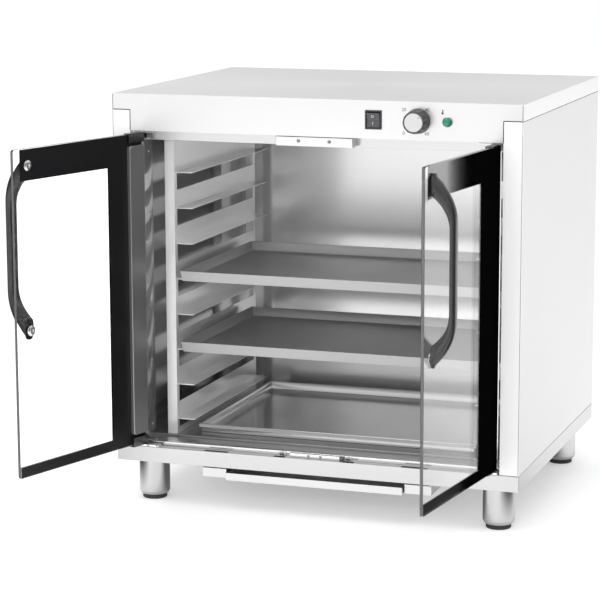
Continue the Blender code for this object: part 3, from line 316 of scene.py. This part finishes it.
def finish_object(name, mesh_data, material, body, smooth=30.0):
    """Turn mesh data in the shared frame into a piece that rides on a body."""
    bmesh.ops.recalc_face_normals(mesh_data, faces=mesh_data.faces)
    mesh = bpy.data.meshes.new(name)
    mesh_data.to_mesh(mesh)
    mesh_data.free()
    mesh.shade_smooth()
    mesh.set_sharp_from_angle(angle=math.radians(smooth))
    piece = bpy.data.objects.new(name, mesh)
    bpy.context.scene.collection.objects.link(piece)
    mesh.materials.append(material)
    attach(piece, body)
    return piece


def dress(node, material, bevel, smooth=30.0):
    """A finished copy of a CAD node's shape, with its edges eased, that stands for the node."""
    source = frame["nodes"][node]
    body = next(b for b, nodes in frame["record"]["behaviour"]["bodies"].items() if node in nodes)
    mesh_data = bmesh.new()
    mesh_data.from_mesh(source.data)
    bmesh.ops.remove_doubles(mesh_data, verts=mesh_data.verts, dist=0.00002)
    bmesh.ops.dissolve_limit(mesh_data, angle_limit=math.radians(0.3), verts=mesh_data.verts,
                             edges=mesh_data.edges)
    for layer in list(mesh_data.loops.layers.float_vector):
        mesh_data.loops.layers.float_vector.remove(layer)
    piece = finish_object(node + "_shape", mesh_data, material, body, smooth)
    if bevel:
        ease = piece.modifiers.new("eased_edges", "BEVEL")
        ease.width = bevel
        ease.segments = 2
        ease.limit_method = "ANGLE"
        ease.angle_limit = math.radians(35)
        ease.use_clamp_overlap = True
        ease.harden_normals = False
    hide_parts(node)


def add_rings(mesh_data, rings):
    """Bridge a list of point rings into a skin, with flat ends."""
    rows = [[mesh_data.verts.new(point) for point in ring] for ring in rings]
    count = len(rows[0])
    for a, b in zip(rows, rows[1:]):
        for i in range(count):
            j = (i + 1) % count
            mesh_data.faces.new((a[i], a[j], b[j], b[i]))
    mesh_data.faces.new(rows[0])
    mesh_data.faces.new(rows[-1])


def lathe_rings(profile, sides, axis, centre):
    """Rings of (reach, along) pairs round an axis direction through a point."""
    axis = Vector(axis).normalized()
    side = axis.orthogonal().normalized()
    other = axis.cross(side)
    rings = []
    for reach, along in profile:
        rings.append([Vector(centre) + axis * along + (side * math.cos(a) + other * math.sin(a)) * reach
                      for a in (math.tau * i / sides for i in range(sides))])
    return rings


def lathe(name, profile, centre, axis, material, body, sides, smooth=35.0):
    """A turned shape from (reach, along) pairs."""
    mesh_data = bmesh.new()
    add_rings(mesh_data, lathe_rings(profile, sides, axis, centre))
    finish_object(name, mesh_data, material, body, smooth)


def plate(name, outline, thickness, matrix, material, body, bevel=0.0):
    """A flat plate: an outline in its own X and Y, thick along its own Z, placed by a matrix."""
    mesh_data = bmesh.new()
    add_rings(mesh_data, [[matrix @ Vector((x, y, z)) for x, y in outline] for z in (0, thickness)])
    if bevel:
        bmesh.ops.bevel(mesh_data, geom=list(mesh_data.edges), offset=bevel, segments=2, profile=0.5,
                        affect="EDGES", clamp_overlap=True)
    finish_object(name, mesh_data, material, body)


def flat_ring(name, inner, outer, thickness, matrix, material, body, sides=24):
    """A flat ring in its own XY, thick along its own Z, placed by a matrix."""
    mesh_data = bmesh.new()
    rows = [[mesh_data.verts.new(matrix @ Vector((r * math.cos(a), r * math.sin(a), h)))
             for a in (math.tau * i / sides for i in range(sides))]
            for r, h in ((inner, 0), (outer, 0), (outer, thickness), (inner, thickness))]
    for a, b in zip(rows, rows[1:] + rows[:1]):
        for i in range(sides):
            j = (i + 1) % sides
            mesh_data.faces.new((a[i], a[j], b[j], b[i]))
    finish_object(name, mesh_data, material, body)


def rectangle(width, height, x=0.0, y=0.0):
    """The corners of a rectangle round a middle."""
    return [(x - width / 2, y - height / 2), (x + width / 2, y - height / 2),
            (x + width / 2, y + height / 2), (x - width / 2, y + height / 2)]


def rounded(width, height, radius):
    """The outline of a rectangle with rounded corners."""
    steps = 5
    points = []
    for cx, cy, start in ((1, -1, -90), (1, 1, 0), (-1, 1, 90), (-1, -1, 180)):
        for i in range(steps + 1):
            a = math.radians(start + 90 * i / steps)
            points.append((cx * (width / 2 - radius) + radius * math.cos(a),
                           cy * (height / 2 - radius) + radius * math.sin(a)))
    return points


FRONT = Matrix(((1, 0, 0, 0), (0, 0, -1, 0), (0, 1, 0, 0), (0, 0, 0, 1)))


def on_front(x, z, proud=0.0):
    """A matrix that puts a plate's own XY on the front face, its own Z coming out towards the front."""
    return Matrix.Translation(at(x, -proud, z)) @ FRONT


# A screw head's profile, as shares of its radius and its height: the round head, then the socket
SCREW_PROFILE = ((0.98, 0), (1, 0.25), (0.86, 0.75), (0.55, 1), (0.42, 1), (0.38, 0.35), (0.02, 0.30))


def screw(name, centre, axis, radius, body="cabinet", material=None, height=None):
    """A small button-head screw with a socket."""
    height = height or radius * 0.55
    profile = [(radius * out, height * up) for out, up in SCREW_PROFILE]
    lathe(name, profile, centre, axis, material or FINISH["bright"], body, 24, 40.0)


def door_matrix(side):
    """The door's own frame at rest: X from the pivot to the free edge, Y into the cabinet when closed."""
    joint = next(j for j in frame["joints"] if j["name"] == side + "_door_hinge")
    turn = Matrix.Rotation(math.radians(DOOR_ANGLES[side]), 4, "Z")
    mirror = 1 if side == "left" else -1
    pivot = Matrix.Translation((joint["pos_m"][0], joint["pos_m"][1], 0))
    return pivot @ turn @ Matrix.Diagonal((mirror, 1, 1, 1))


# ---------------------------------------------------------------- CAD shapes with their finishes

# Each CAD node with its finish and the width of its eased edges in mm
DRESSED = [
    ("top_cover", "lid", 1.2), ("left_side_panel", "side", 1.1), ("right_side_panel", "side", 1.1),
    ("back_panel", "side", 0.0), ("base_frame", "base", 0.9), ("bottom_panel", "frame_x", 0.0),
    ("door_sill_lip", "frame_x", 0.8), ("door_head_rail", "rail", 0.7), ("top_door_catch", "frame_x", 0.7),
    ("bottom_door_catch", "frame_x", 0.6), ("left_cavity_wall", "liner_side", 0.0),
    ("right_cavity_wall", "liner_side", 0.0), ("back_cavity_wall", "liner_back", 0.0),
    ("cavity_ceiling", "liner_x", 0.0), ("cavity_floor", "liner_floor", 0.7),
    ("left_rack", "rack", 0.6), ("right_rack", "rack", 0.6), ("left_rack_stud", "bright", 0.0),
    ("right_rack_stud", "bright", 0.0), ("upper_tray", "tray", 0.45), ("lower_tray", "tray", 0.45),
    ("water_pan", "pan", 0.8), ("drip_tray_holder", "drip", 0.4), ("drip_tray", "drip", 0.4),
    ("left_door_stiffener", "stiffener", 0.8), ("right_door_stiffener", "stiffener", 0.8),
    ("heater_plate", "foil", 0.5), ("thermostat_body", "clamp", 0.5), ("thermostat_dial", "black", 0.3),
    ("switch_housing", "black", 0.7), ("switch_rocker", "rocker", 0.5), ("pilot_lamp_bezel", "bezel", 0.0),
    ("pilot_lamp_lens", "lens", 0.0), ("cable_gland", "black", 0.4),
]
for node, look, bevel in DRESSED:
    dress(node, FINISH[look], bevel * MM)
for corner in ("front_left", "front_right", "rear_left", "rear_right"):
    dress(corner + "_leg", FINISH["leg"], 0.4 * MM)
    dress(corner + "_foot", FINISH["rubber"], 0.4 * MM)
for side in ("left", "right"):
    for place in ("upper", "lower"):
        dress(f"{side}_{place}_clamp", FINISH["clamp"], 0.5 * MM)
        dress(f"{side}_{place}_pivot_bracket", FINISH["bright"], 0.3 * MM)
        dress(f"{side}_handle_{place}_screw", FINISH["bright"], 0.2 * MM, 40.0)

DISC_LOW, DISC_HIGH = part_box("dial_face_disc")
DISC_CENTRE = (DISC_LOW + DISC_HIGH) / 2
DISC_RADIUS = (DISC_HIGH.x - DISC_LOW.x) / 2
dress("dial_face_disc", dial_disc("dial_disc_silver", DISC_CENTRE), 0.15 * MM)


# ---------------------------------------------------------------- doors

def print_outline(side):
    """The printed border in the door's X and Z: a wide band at the hinge, narrower ones above and below."""
    low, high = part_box(side + "_door_glass")
    bottom, top = low.z + 1 * MM, high.z - 1 * MM
    band_low, band_high = bottom + 20 * MM, top - 57 * MM
    hinge_end, low_reach, top_reach = -8 * MM, DOOR_REACH - 2 * MM, DOOR_REACH - PRINT_INSET
    return [(hinge_end, bottom), (low_reach, bottom), (low_reach, band_low), (PRINT_BAND, band_low),
            (PRINT_BAND, band_high), (top_reach, band_high), (top_reach, top), (hinge_end, top)]


def on_door(turn, depth):
    """A matrix that stands a plate's own XY up on a door, at a depth from the glass's middle plane."""
    return turn @ Matrix(((1, 0, 0, 0), (0, 0, 1, depth), (0, 1, 0, 0), (0, 0, 0, 1)))


def door_print(side):
    """The glass and its black border: satin inside, with a matt layer of painted shade outside that fades from the
    hinge.
    """
    turn = door_matrix(side)
    along, across = ((turn.to_3x3() @ Vector(axis)).normalized() for axis in ((1, 0, 0), (0, 1, 0)))
    plate(side + "_door_print", print_outline(side), PRINT_THICK, on_door(turn, HALF_GLASS + 0.04 * MM),
          FINISH["print"], side + "_door")
    fade = painted_shade_fade(side + "_painted_shade_fade", turn.translation, along, 110 * MM, 250 * MM)
    plate(side + "_door_painted_shade_cover", print_outline(side), PRINT_THICK, on_door(turn, -HALF_GLASS - 0.14 * MM),
          fade, side + "_door")
    dress(side + "_door_glass", glass(side + "_glass_clear", turn.translation, along, across), 0.6 * MM)


def door_handle(side):
    """The bowed handle: a rounded section with a soft ridge, swept from pad to pad."""
    low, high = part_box(side + "_handle")
    middle, half = (low.z + high.z) / 2, (high.z - low.z) / 2
    reach_all, thick, rise, foot, pad = 43 * MM, 11 * MM, 88 * MM, 40 * MM, 0.8 * MM
    along, half_wide = 310 * MM, 11 * MM
    bow, squareness, flatness, ridge = 2.3, 0.62, 0.72, 0.10
    steps, sides = 22, 28
    stations = [((0.0, half), (0.0, half - foot)), ((pad, half), (0.0, half - foot))]
    for i in range(steps + 1):
        t = i / steps
        curve = 1 - (1 - t) ** bow
        outer = (max(reach_all * curve, thick / 3), half - rise * t)
        inner = ((reach_all - thick) * curve, half - foot - (rise + thick - foot) * t)
        stations.append((outer, inner))
    stations += [((o[0], -o[1]), (i[0], -i[1])) for o, i in reversed(stations)]
    matrix = door_matrix(side)
    face = -HALF_GLASS - 0.3 * MM
    rings = []
    for outer, inner in stations:
        ring = []
        for k in range(sides):
            a = math.tau * k / sides
            c, s = math.cos(a), math.sin(a)
            across = math.copysign(abs(c) ** squareness, c) * half_wide
            share = 0.5 + 0.5 * math.copysign(abs(s) ** flatness, s)
            share = min(1.0, share) * (1 - ridge * (abs(c) ** 2) * (s > 0))
            out = inner[0] + (outer[0] - inner[0]) * share
            z = inner[1] + (outer[1] - inner[1]) * share
            ring.append(matrix @ Vector((along + across, face - out, middle + z)))
        rings.append(ring)
    mesh_data = bmesh.new()
    add_rings(mesh_data, rings)
    piece = finish_object(side + "_handle_grip", mesh_data, FINISH["handle"], side + "_door",
                          50.0)
    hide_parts(side + "_handle")


CLAMP_FACE = HALF_GLASS + 0.3 * MM + 7.0 * MM
CLAMP_EDGES = (("upper", 0.7240, 1), ("lower", 0.1215, -1))
for side in ("left", "right"):
    door_print(side)
    door_handle(side)
    turn = door_matrix(side)
    inward = turn.to_3x3() @ Vector((0, 1, 0))
    for place, edge_z, up in CLAMP_EDGES:
        for index, along in enumerate((12 * MM, 27 * MM)):
            centre = turn @ Vector((along, CLAMP_FACE, edge_z - up * 8 * MM))
            screw(f"{side}_{place}_clamp_screw_{index + 1}", centre, inward, 2.4 * MM, side + "_door",
                  FINISH["clamp"], 0.7 * MM)


# ---------------------------------------------------------------- fittings on the front

# Screws in the two catches
CATCH_LOW, CATCH_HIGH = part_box("top_door_catch")
for index, x in enumerate((-30 * MM, 30 * MM)):
    centre = Vector((MIDDLE_X + x, CATCH_LOW.y, (CATCH_LOW.z + CATCH_HIGH.z) / 2 + 1 * MM))
    screw(f"top_catch_screw_{index + 1}", centre, TO_FRONT, 3.4 * MM, material=FINISH["fixing"])
SILL_LOW, SILL_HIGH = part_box("bottom_door_catch")
for index, x in enumerate((-12 * MM, 12 * MM)):
    centre = Vector((MIDDLE_X + x, SILL_LOW.y, (SILL_LOW.z + SILL_HIGH.z) / 2))
    screw(f"bottom_catch_screw_{index + 1}", centre, TO_FRONT, 2.7 * MM, material=FINISH["fixing"],
          height=0.8 * MM)


def front_text(name, words, size, x, z, material):
    """Generic numbers printed on the fascia."""
    curve = bpy.data.curves.new(name, "FONT")
    curve.body = words
    curve.size = size
    curve.align_x = "CENTER"
    curve.align_y = "CENTER"
    curve.extrude = 0.03 * MM
    source = bpy.data.objects.new(name + "_source", curve)
    bpy.context.scene.collection.objects.link(source)
    bpy.context.view_layer.update()
    mesh = bpy.data.meshes.new_from_object(source.evaluated_get(bpy.context.evaluated_depsgraph_get()))
    bpy.data.objects.remove(source)
    mesh.transform(on_front(x, z, 0.05 * MM))
    mesh_data = bmesh.new()
    mesh_data.from_mesh(mesh)
    bmesh.ops.remove_doubles(mesh_data, verts=mesh_data.verts, dist=0.000001)
    finish_object(name, mesh_data, material, "cabinet")


# The numbers round the dial, each with its place from the dial's middle in mm
DIAL_X, DIAL_Z = 203.5 * MM, BODY_TOP - 35 * MM
NUMBER_SIZE = 8.8 * MM
for words, dx, dz in (("0", -27.0, -23.0), ("20", -26.5, 20.0), ("40", 17.0, 20.8), ("60", 17.0, -22.7)):
    front_text("dial_number_" + words, words, NUMBER_SIZE, DIAL_X + dx * MM, DIAL_Z + dz * MM, FINISH["ink_and_fold_shade"])

# A thermometer sign above the lamp
SIGN_X, SIGN_Z = 249.5 * MM, BODY_TOP - 15.5 * MM
SIGN_PROUD, SIGN_THICK = 0.02 * MM, 0.06 * MM
plate("thermometer_sign_stem", rounded(1.4 * MM, 6.0 * MM, 0.65 * MM), SIGN_THICK,
      on_front(SIGN_X, SIGN_Z, SIGN_PROUD), FINISH["ink_and_fold_shade"], "cabinet")
lathe("thermometer_sign_bulb", [(2.2 * MM, 0), (2.2 * MM, 0.07 * MM)],
      at(SIGN_X, -SIGN_PROUD, SIGN_Z - 4.0 * MM), TO_FRONT, FINISH["ink_and_fold_shade"], "cabinet", 20)
for index, up in enumerate((-0.5 * MM, 1.5 * MM)):
    plate(f"thermometer_sign_tick_{index + 1}", rectangle(1.6 * MM, 0.6 * MM), SIGN_THICK,
          on_front(SIGN_X + 1.6 * MM, SIGN_Z + up, SIGN_PROUD), FINISH["ink_and_fold_shade"], "cabinet")

# The rocker's marks, a ring and a bar, on its two tilted faces
SWITCH_X = 119 * MM
ROCKER_HALF, ROCKER_MIDDLE_DEPTH, ROCKER_RISE = 13.2 * MM, 3.0 * MM, 3.2 * MM
ROCKER_LEAN = math.atan(3.2 / 13.2)
MARK_THICK = 0.08 * MM
TILT = Matrix.Translation(at(SWITCH_X, 2 * MM, DIAL_Z)) @ Matrix.Rotation(math.radians(7.0), 4, "X")


def on_rocker(z, lean):
    """A matrix that puts a plate's own XY on the rocker's face above (lean 1) or below (lean -1) its middle."""
    depth = ROCKER_MIDDLE_DEPTH + ROCKER_RISE * abs(z) / ROCKER_HALF + 0.03 * MM
    face = TILT @ Matrix.Translation((-1.0 * MM, -depth, z))
    return face @ Matrix.Rotation(lean * ROCKER_LEAN, 4, "X") @ FRONT


flat_ring("rocker_mark_ring", 1.7 * MM, 2.3 * MM, MARK_THICK, on_rocker(7.0 * MM, 1), FINISH["white"],
          "switch_rocker")
plate("rocker_mark_bar", rectangle(0.7 * MM, 4.6 * MM), MARK_THICK, on_rocker(-6.4 * MM, -1), FINISH["white"],
      "switch_rocker")

# The dial's pointer mark and a dark rim, both on its disc
DISC_FACE = Matrix.Translation((DISC_CENTRE.x, DISC_LOW.y - 0.01 * MM, DISC_CENTRE.z)) @ FRONT
POINTER_TURN = Matrix.Rotation(math.radians(-48), 4, "Z")
plate("dial_pointer_mark", rectangle(1.1 * MM, 4.0 * MM, 0.0, 13.4 * MM), 0.06 * MM, DISC_FACE @ POINTER_TURN,
      FINISH["ink_and_fold_shade"], "thermostat_dial")
flat_ring("dial_disc_rim", DISC_RADIUS - 1.5 * MM, DISC_RADIUS - 0.25 * MM, 0.05 * MM, DISC_FACE,
          FINISH["black"], "thermostat_dial", 48)

# A green collar on the lamp's bezel
COLLAR = [(7.6 * MM, 0), (8.7 * MM, 0), (8.7 * MM, 0.9 * MM), (7.9 * MM, 1.3 * MM), (7.6 * MM, 1.3 * MM)]
lathe("pilot_lamp_collar", COLLAR, at(259 * MM, -2.9 * MM, 764 * MM), TO_FRONT, FINISH["lens"], "cabinet",
      40)


def block(name, low, high, material):
    """A small block with eased edges, from its corners given from the middle of the front face."""
    a, b = at(*low), at(*high)
    mesh_data = bmesh.new()
    add_rings(mesh_data, [[(a.x, a.y, z), (b.x, a.y, z), (b.x, b.y, z), (a.x, b.y, z)] for z in (a.z, b.z)])
    bmesh.ops.bevel(mesh_data, geom=list(mesh_data.edges), offset=0.5 * MM, segments=2, profile=0.5,
                    affect="EDGES", clamp_overlap=True)
    finish_object(name, mesh_data, material, "cabinet", 40.0)


# Ball catches at both ends of the bottom catch, each two small domes on a block, and the stop beside it
LEDGE = BASE_TOP + 0.3 * MM
CATCH_BACK = 19.6 * MM
DOME = [(2.1 * MM, 0), (2.1 * MM, 0.8 * MM), (1.6 * MM, 1.9 * MM), (0.7 * MM, 2.4 * MM), (0.05 * MM, 2.5 * MM)]
for word, x in (("left", -66 * MM), ("right", 66 * MM)):
    block(f"{word}_ball_catch_block", (x - 4.5 * MM, 13.5 * MM, LEDGE),
          (x + 4.5 * MM, CATCH_BACK, LEDGE + 6.4 * MM), FINISH["frame_x"])
    for index, dx in enumerate((-2.2 * MM, 2.2 * MM)):
        lathe(f"{word}_ball_catch_{index + 1}", DOME, at(x + dx, 13.6 * MM, LEDGE + 3.4 * MM), TO_FRONT,
              FINISH["clamp"], "cabinet", 20)
block("catch_stop", (50.6 * MM, 12.4 * MM, LEDGE), (56.4 * MM, CATCH_BACK, LEDGE + 7.0 * MM), FINISH["clamp"])

# Small studs between the sill lip and the floor plate; the inner two stay clear of the water pan
SILL_STUDS = ((-332 * MM, 8.0 * MM), (-200 * MM, 1.9 * MM), (200 * MM, 1.9 * MM), (332 * MM, 8.0 * MM))
for index, (x, tall) in enumerate(SILL_STUDS):
    pin = [(1.5 * MM, 0), (1.5 * MM, tall), (2.1 * MM, tall + 0.2 * MM), (2.1 * MM, tall + 1.4 * MM),
           (1.4 * MM, tall + 2.0 * MM), (0.05 * MM, tall + 2.1 * MM)]
    lathe(f"sill_stud_{index + 1}", pin, at(x, 34 * MM, BASE_TOP + 0.05 * MM), UPWARD, FINISH["bright"],
          "cabinet", 20)


def upright(along_y, out_x):
    """A turn that lays a plate's own X along Y, its own Y upright and its thickness along X."""
    return Matrix(((0, 0, out_x, 0), (along_y, 0, 0, 0), (0, 1, 0, 0), (0, 0, 0, 1)))


# Fittings at the sides: a post and a dark block at the head, screws at the sill and in the liner's walls,
# and the liner's folded front edge
POST = [(1.2 * MM, 0), (1.2 * MM, 12.6 * MM)]
SILL_SCREWS = ((336 * MM, 2.5 * MM), (318.5 * MM, 2.0 * MM))
WALL_SCREW_HEIGHTS = (139.6 * MM, 268.1 * MM, 560 * MM, 680 * MM)
for side, sign in (("left", -1), ("right", 1)):
    lathe(side + "_hinge_post", POST, at(sign * 346 * MM, 21.6 * MM, 711.4 * MM), UPWARD, FINISH["bright"],
          "cabinet", 16)
    xs = sorted((sign * 343.6 * MM, sign * 336.2 * MM))
    block(side + "_hinge_block", (xs[0], 21 * MM, 713.0 * MM), (xs[1], 36.6 * MM, 722.4 * MM), FINISH["clamp"])
    for index, (x, radius) in enumerate(SILL_SCREWS):
        screw(f"{side}_sill_bracket_screw_{index + 1}", at(sign * x, 0.5 * MM, 118.1 * MM), TO_FRONT, radius,
              material=FINISH["fixing"], height=0.8 * MM)
    for index, z in enumerate(WALL_SCREW_HEIGHTS):
        screw(f"{side}_wall_screw_{index + 1}", at(sign * 362.4 * MM, 88 * MM, z), (-sign, 0, 0), 2.6 * MM,
              height=1.0 * MM)
    wall = Matrix.Translation(at(sign * 363 * MM, 74.6 * MM, 420 * MM)) @ upright(sign, -sign)
    plate(side + "_liner_return", rectangle(60 * MM, 586 * MM), 0.6 * MM, wall, FINISH["return"], "cabinet",
          0.2 * MM)

# Painted shade: dark plates in the ledge stand for the drain openings, each with its middle and its length in mm
STRIP_THICK = 0.05 * MM
DRAINS = (("left_drain", -197, 48), ("right_drain", 197, 48), ("left_catch", -69, 22), ("right_catch", 69, 22))
for name, x, length in DRAINS:
    ledge = Matrix.Translation(at(x * MM, 6.6 * MM, BASE_TOP))
    plate(name + "_opening", rounded(length * MM, 10.4 * MM, 1.2 * MM), STRIP_THICK, ledge, FINISH["dark"],
          "cabinet")

# Painted shade: dark strips over the seams under the lid and beside the control panel, where the gaps lie in
# shade, and the folds' finer dark lines, painted shade at the bends
SEAM_SHADE, FOLD = 1.8 * MM, 1.0 * MM
for side, sign in (("left", -1), ("right", 1)):
    flank = Matrix.Translation(at(sign * (HALF_WIDTH - 0.04 * MM), DEPTH / 2, LID_LOW - 0.4 * MM))
    for name, width, height, place, look in (
            ("_seam_upright", SEAM_SHADE, LID_LOW - PANEL_LOW - 1 * MM,
             on_front(sign * (PANEL_HALF + 0.15 * MM), (LID_LOW + PANEL_LOW) / 2), "dark"),
            ("_seam_level", HALF_WIDTH - PANEL_HALF - 1.4 * MM, SEAM_SHADE,
             on_front(sign * (HALF_WIDTH + PANEL_HALF) / 2, LID_LOW - 0.4 * MM), "dark"),
            ("_lid_corner_fold", FOLD, BODY_TOP - LID_LOW - 3 * MM,
             on_front(sign * (HALF_WIDTH - 1.8 * MM), (BODY_TOP + LID_LOW) / 2), "ink_and_fold_shade"),
            ("_panel_fold", FOLD, LID_LOW - BASE_TOP - 4 * MM,
             on_front(sign * (HALF_WIDTH - 1.7 * MM), (BASE_TOP + LID_LOW) / 2), "fold"),
            ("_seam_along_side", DEPTH - 2.6 * MM, FOLD, flank @ upright(sign, sign), "dark")):
        plate(side + name, rectangle(width, height), STRIP_THICK, place, FINISH[look], "cabinet")


# ---------------------------------------------------------------- stage, light and camera

FLOOR_GLOW = 0.29
MIRROR_GLOW = 0.39
FLOOR_TONE = 0.82
SIDE_TONE = 0.06
FLOOR_HALF = 12
NEAR = 0.05


def stage_plane(name, corners, material):
    mesh_data = bmesh.new()
    mesh_data.faces.new([mesh_data.verts.new(c) for c in corners])
    mesh = bpy.data.meshes.new(name)
    mesh_data.to_mesh(mesh)
    mesh_data.free()
    mesh.materials.append(material)
    piece = bpy.data.objects.new(name, mesh)
    bpy.context.scene.collection.objects.link(piece)


def floor_material():
    """A pale floor: it keeps the shadow and shows white to the camera and to glass. To metal it shows painted
    shade: darker at the sides and at the front right, with a painted shadow under the cabinet."""
    tree = Tree("pale_floor")
    paths = tree.node("ShaderNodeLightPath")
    direct = tree.math("ADD", paths.outputs["Is Camera Ray"], paths.outputs["Is Transmission Ray"], True)
    place = tree.node("ShaderNodeTexCoord")
    from_front = tree.node("ShaderNodeVectorMath", {"operation": "SUBTRACT"}, i0=place.outputs["Object"],
                           i1=tuple(at(0, 0, 0)))
    reach = tree.node("ShaderNodeVectorMath", {"operation": "LENGTH"}, i0=from_front.outputs[0])
    split = tree.node("ShaderNodeSeparateXYZ", i0=from_front.outputs[0])
    aside = tree.math("ABSOLUTE", split.outputs["X"], 0.0)
    sideways = tree.math("DIVIDE", aside, tree.math("MAXIMUM", reach.outputs["Value"], NEAR))
    # Painted shade: dark flanks at the sides, seen only by metal
    flanks = tree.math("MULTIPLY", tree.remap(sideways, 0.0, 1.0, 0.74, 0.92),
                       tree.remap(aside, 0.0, 1.0, 0.42, 0.65))
    ahead = tree.math("MULTIPLY", split.outputs["Y"], -1.0)
    slant = tree.math("DIVIDE", split.outputs["X"], tree.math("MAXIMUM", ahead, NEAR))
    # Painted shade: a dark patch at the front right, seen only by metal
    front_right_shade = tree.math("MULTIPLY", tree.remap(slant, 0.0, 1.0, 0.02, 0.16),
                     tree.remap(ahead, 0.0, 0.72, 0.7, 1.3))
    # Painted shadow under the cabinet, seen only by metal
    under = tree.math("MULTIPLY", tree.remap(aside, 1.0, 0.0, 0.30, 0.46),
                      tree.remap(ahead, 0.8, 0.0, -0.10, 0.06))
    dark = tree.math("MAXIMUM", tree.math("MAXIMUM", flanks, front_right_shade), under)
    open_floor = tree.remap(dark, 1.0, SIDE_TONE, 0.0, 1.0)
    mirrored = tree.math("MULTIPLY", paths.outputs["Is Glossy Ray"], open_floor)
    seen = tree.math("ADD", direct, mirrored, True)
    shade = tree.math("MAXIMUM", seen, tree.math("SUBTRACT", 1.0, paths.outputs["Is Glossy Ray"], True))
    glow = tree.math("ADD", tree.math("MULTIPLY", direct, FLOOR_GLOW),
                     tree.math("MULTIPLY", mirrored, MIRROR_GLOW))
    return tree.principled(Base_Color=tree.mix(shade, grey(0.0), grey(FLOOR_TONE)), Roughness=0.9,
                           Specular_IOR_Level=0.0, Emission_Color=grey(1.0), Emission_Strength=glow)


stage_plane("floor", [(x * FLOOR_HALF, y * FLOOR_HALF, 0) for x, y in ((-1, -1), (1, -1), (1, 1), (-1, 1))],
            floor_material())

world = bpy.data.worlds.new("studio")
bpy.context.scene.world = world
world.use_nodes = True
nodes, links = world.node_tree.nodes, world.node_tree.links
nodes.clear()
paths = nodes.new("ShaderNodeLightPath")
place = nodes.new("ShaderNodeTexCoord")
split = nodes.new("ShaderNodeSeparateXYZ")
links.new(place.outputs["Generated"], split.inputs[0])


def world_math(operation, a, b):
    made = nodes.new("ShaderNodeMath")
    made.operation = operation
    made.use_clamp = operation != "MULTIPLY"
    for socket, value in zip(made.inputs, (a, b)):
        if isinstance(value, bpy.types.NodeSocket):
            links.new(value, socket)
        else:
            socket.default_value = value
    return made.outputs[0]


def world_remap(value, from_low, from_high, low, high):
    made = nodes.new("ShaderNodeMapRange")
    for socket, number in zip(list(made.inputs)[1:5], (from_low, from_high, low, high)):
        socket.default_value = number
    links.new(value, made.inputs[0])
    return made.outputs[0]


# White behind the object; metal also mirrors darker sides and a slightly greyer skyline
direct = world_math("ADD", paths.outputs["Is Camera Ray"], paths.outputs["Is Transmission Ray"])
aside = world_math("ABSOLUTE", split.outputs[0], 0.0)
sides = world_remap(aside, 0.66, 0.92, 1.0, SIDE_TONE)
skyline = world_remap(split.outputs[2], 0.10, 0.80, 0.60, 1.0)
mirrored = world_math("MULTIPLY", world_math("MULTIPLY", sides, skyline), paths.outputs["Is Glossy Ray"])
not_glossy = world_math("SUBTRACT", 1.0, paths.outputs["Is Glossy Ray"])
strength = world_math("MAXIMUM", direct, world_math("ADD", mirrored, not_glossy))
white = nodes.new("ShaderNodeBackground")
white.inputs["Color"].default_value = (1, 1, 1, 1)
output = nodes.new("ShaderNodeOutputWorld")
links.new(strength, white.inputs["Strength"])
links.new(white.outputs[0], output.inputs[0])


def softbox(name, centre, target, size, power):
    """A rectangular area lamp that faces its target."""
    lamp = bpy.data.lights.new(name, "AREA")
    lamp.shape = "RECTANGLE"
    lamp.size, lamp.size_y = size
    lamp.energy = power
    holder = bpy.data.objects.new(name, lamp)
    bpy.context.scene.collection.objects.link(holder)
    holder.location = centre
    holder.rotation_euler = (Vector(target) - Vector(centre)).to_track_quat("-Z", "Y").to_euler()
    return holder


softbox("top_softbox", centre=(-0.6, -1.2, 3.2), target=(0, 0.1, 0.3), size=(2.4, 2.0), power=28)
front = softbox("front_softbox", centre=(0.75, -3.2, 1.0), target=(0.38, 0, 0.45), size=(1.6, 1.4), power=45)
front.visible_glossy = False
front.visible_transmission = False

# The camera as fitted to the photo's edges: focal length in the photo's pixels, and turns in radians
PHOTO_WIDTH, FOCAL_LENGTH, SENSOR = 600.0, 2304.0, 36.0
CAMERA_PLACE = (1.3646, -4.0064, 1.1954)
CAMERA_TURN, CAMERA_DIP, CAMERA_ROLL = 0.3336, 0.1805, -0.0030
camera = bpy.data.cameras.new("camera")
camera.sensor_width = SENSOR
camera.lens = FOCAL_LENGTH / PHOTO_WIDTH * SENSOR
camera.clip_start = 0.05
camera.clip_end = 60.0
holder = bpy.data.objects.new("camera", camera)
bpy.context.scene.collection.objects.link(holder)
holder.location = at(*CAMERA_PLACE)
holder.rotation_euler = (Matrix.Rotation(CAMERA_TURN, 3, "Z")
                         @ Matrix.Rotation(math.pi / 2 - CAMERA_DIP, 3, "X")
                         @ Matrix.Rotation(CAMERA_ROLL, 3, "Z")).to_euler()
bpy.context.scene.camera = holder
bpy.context.scene.view_settings.view_transform = "Standard"
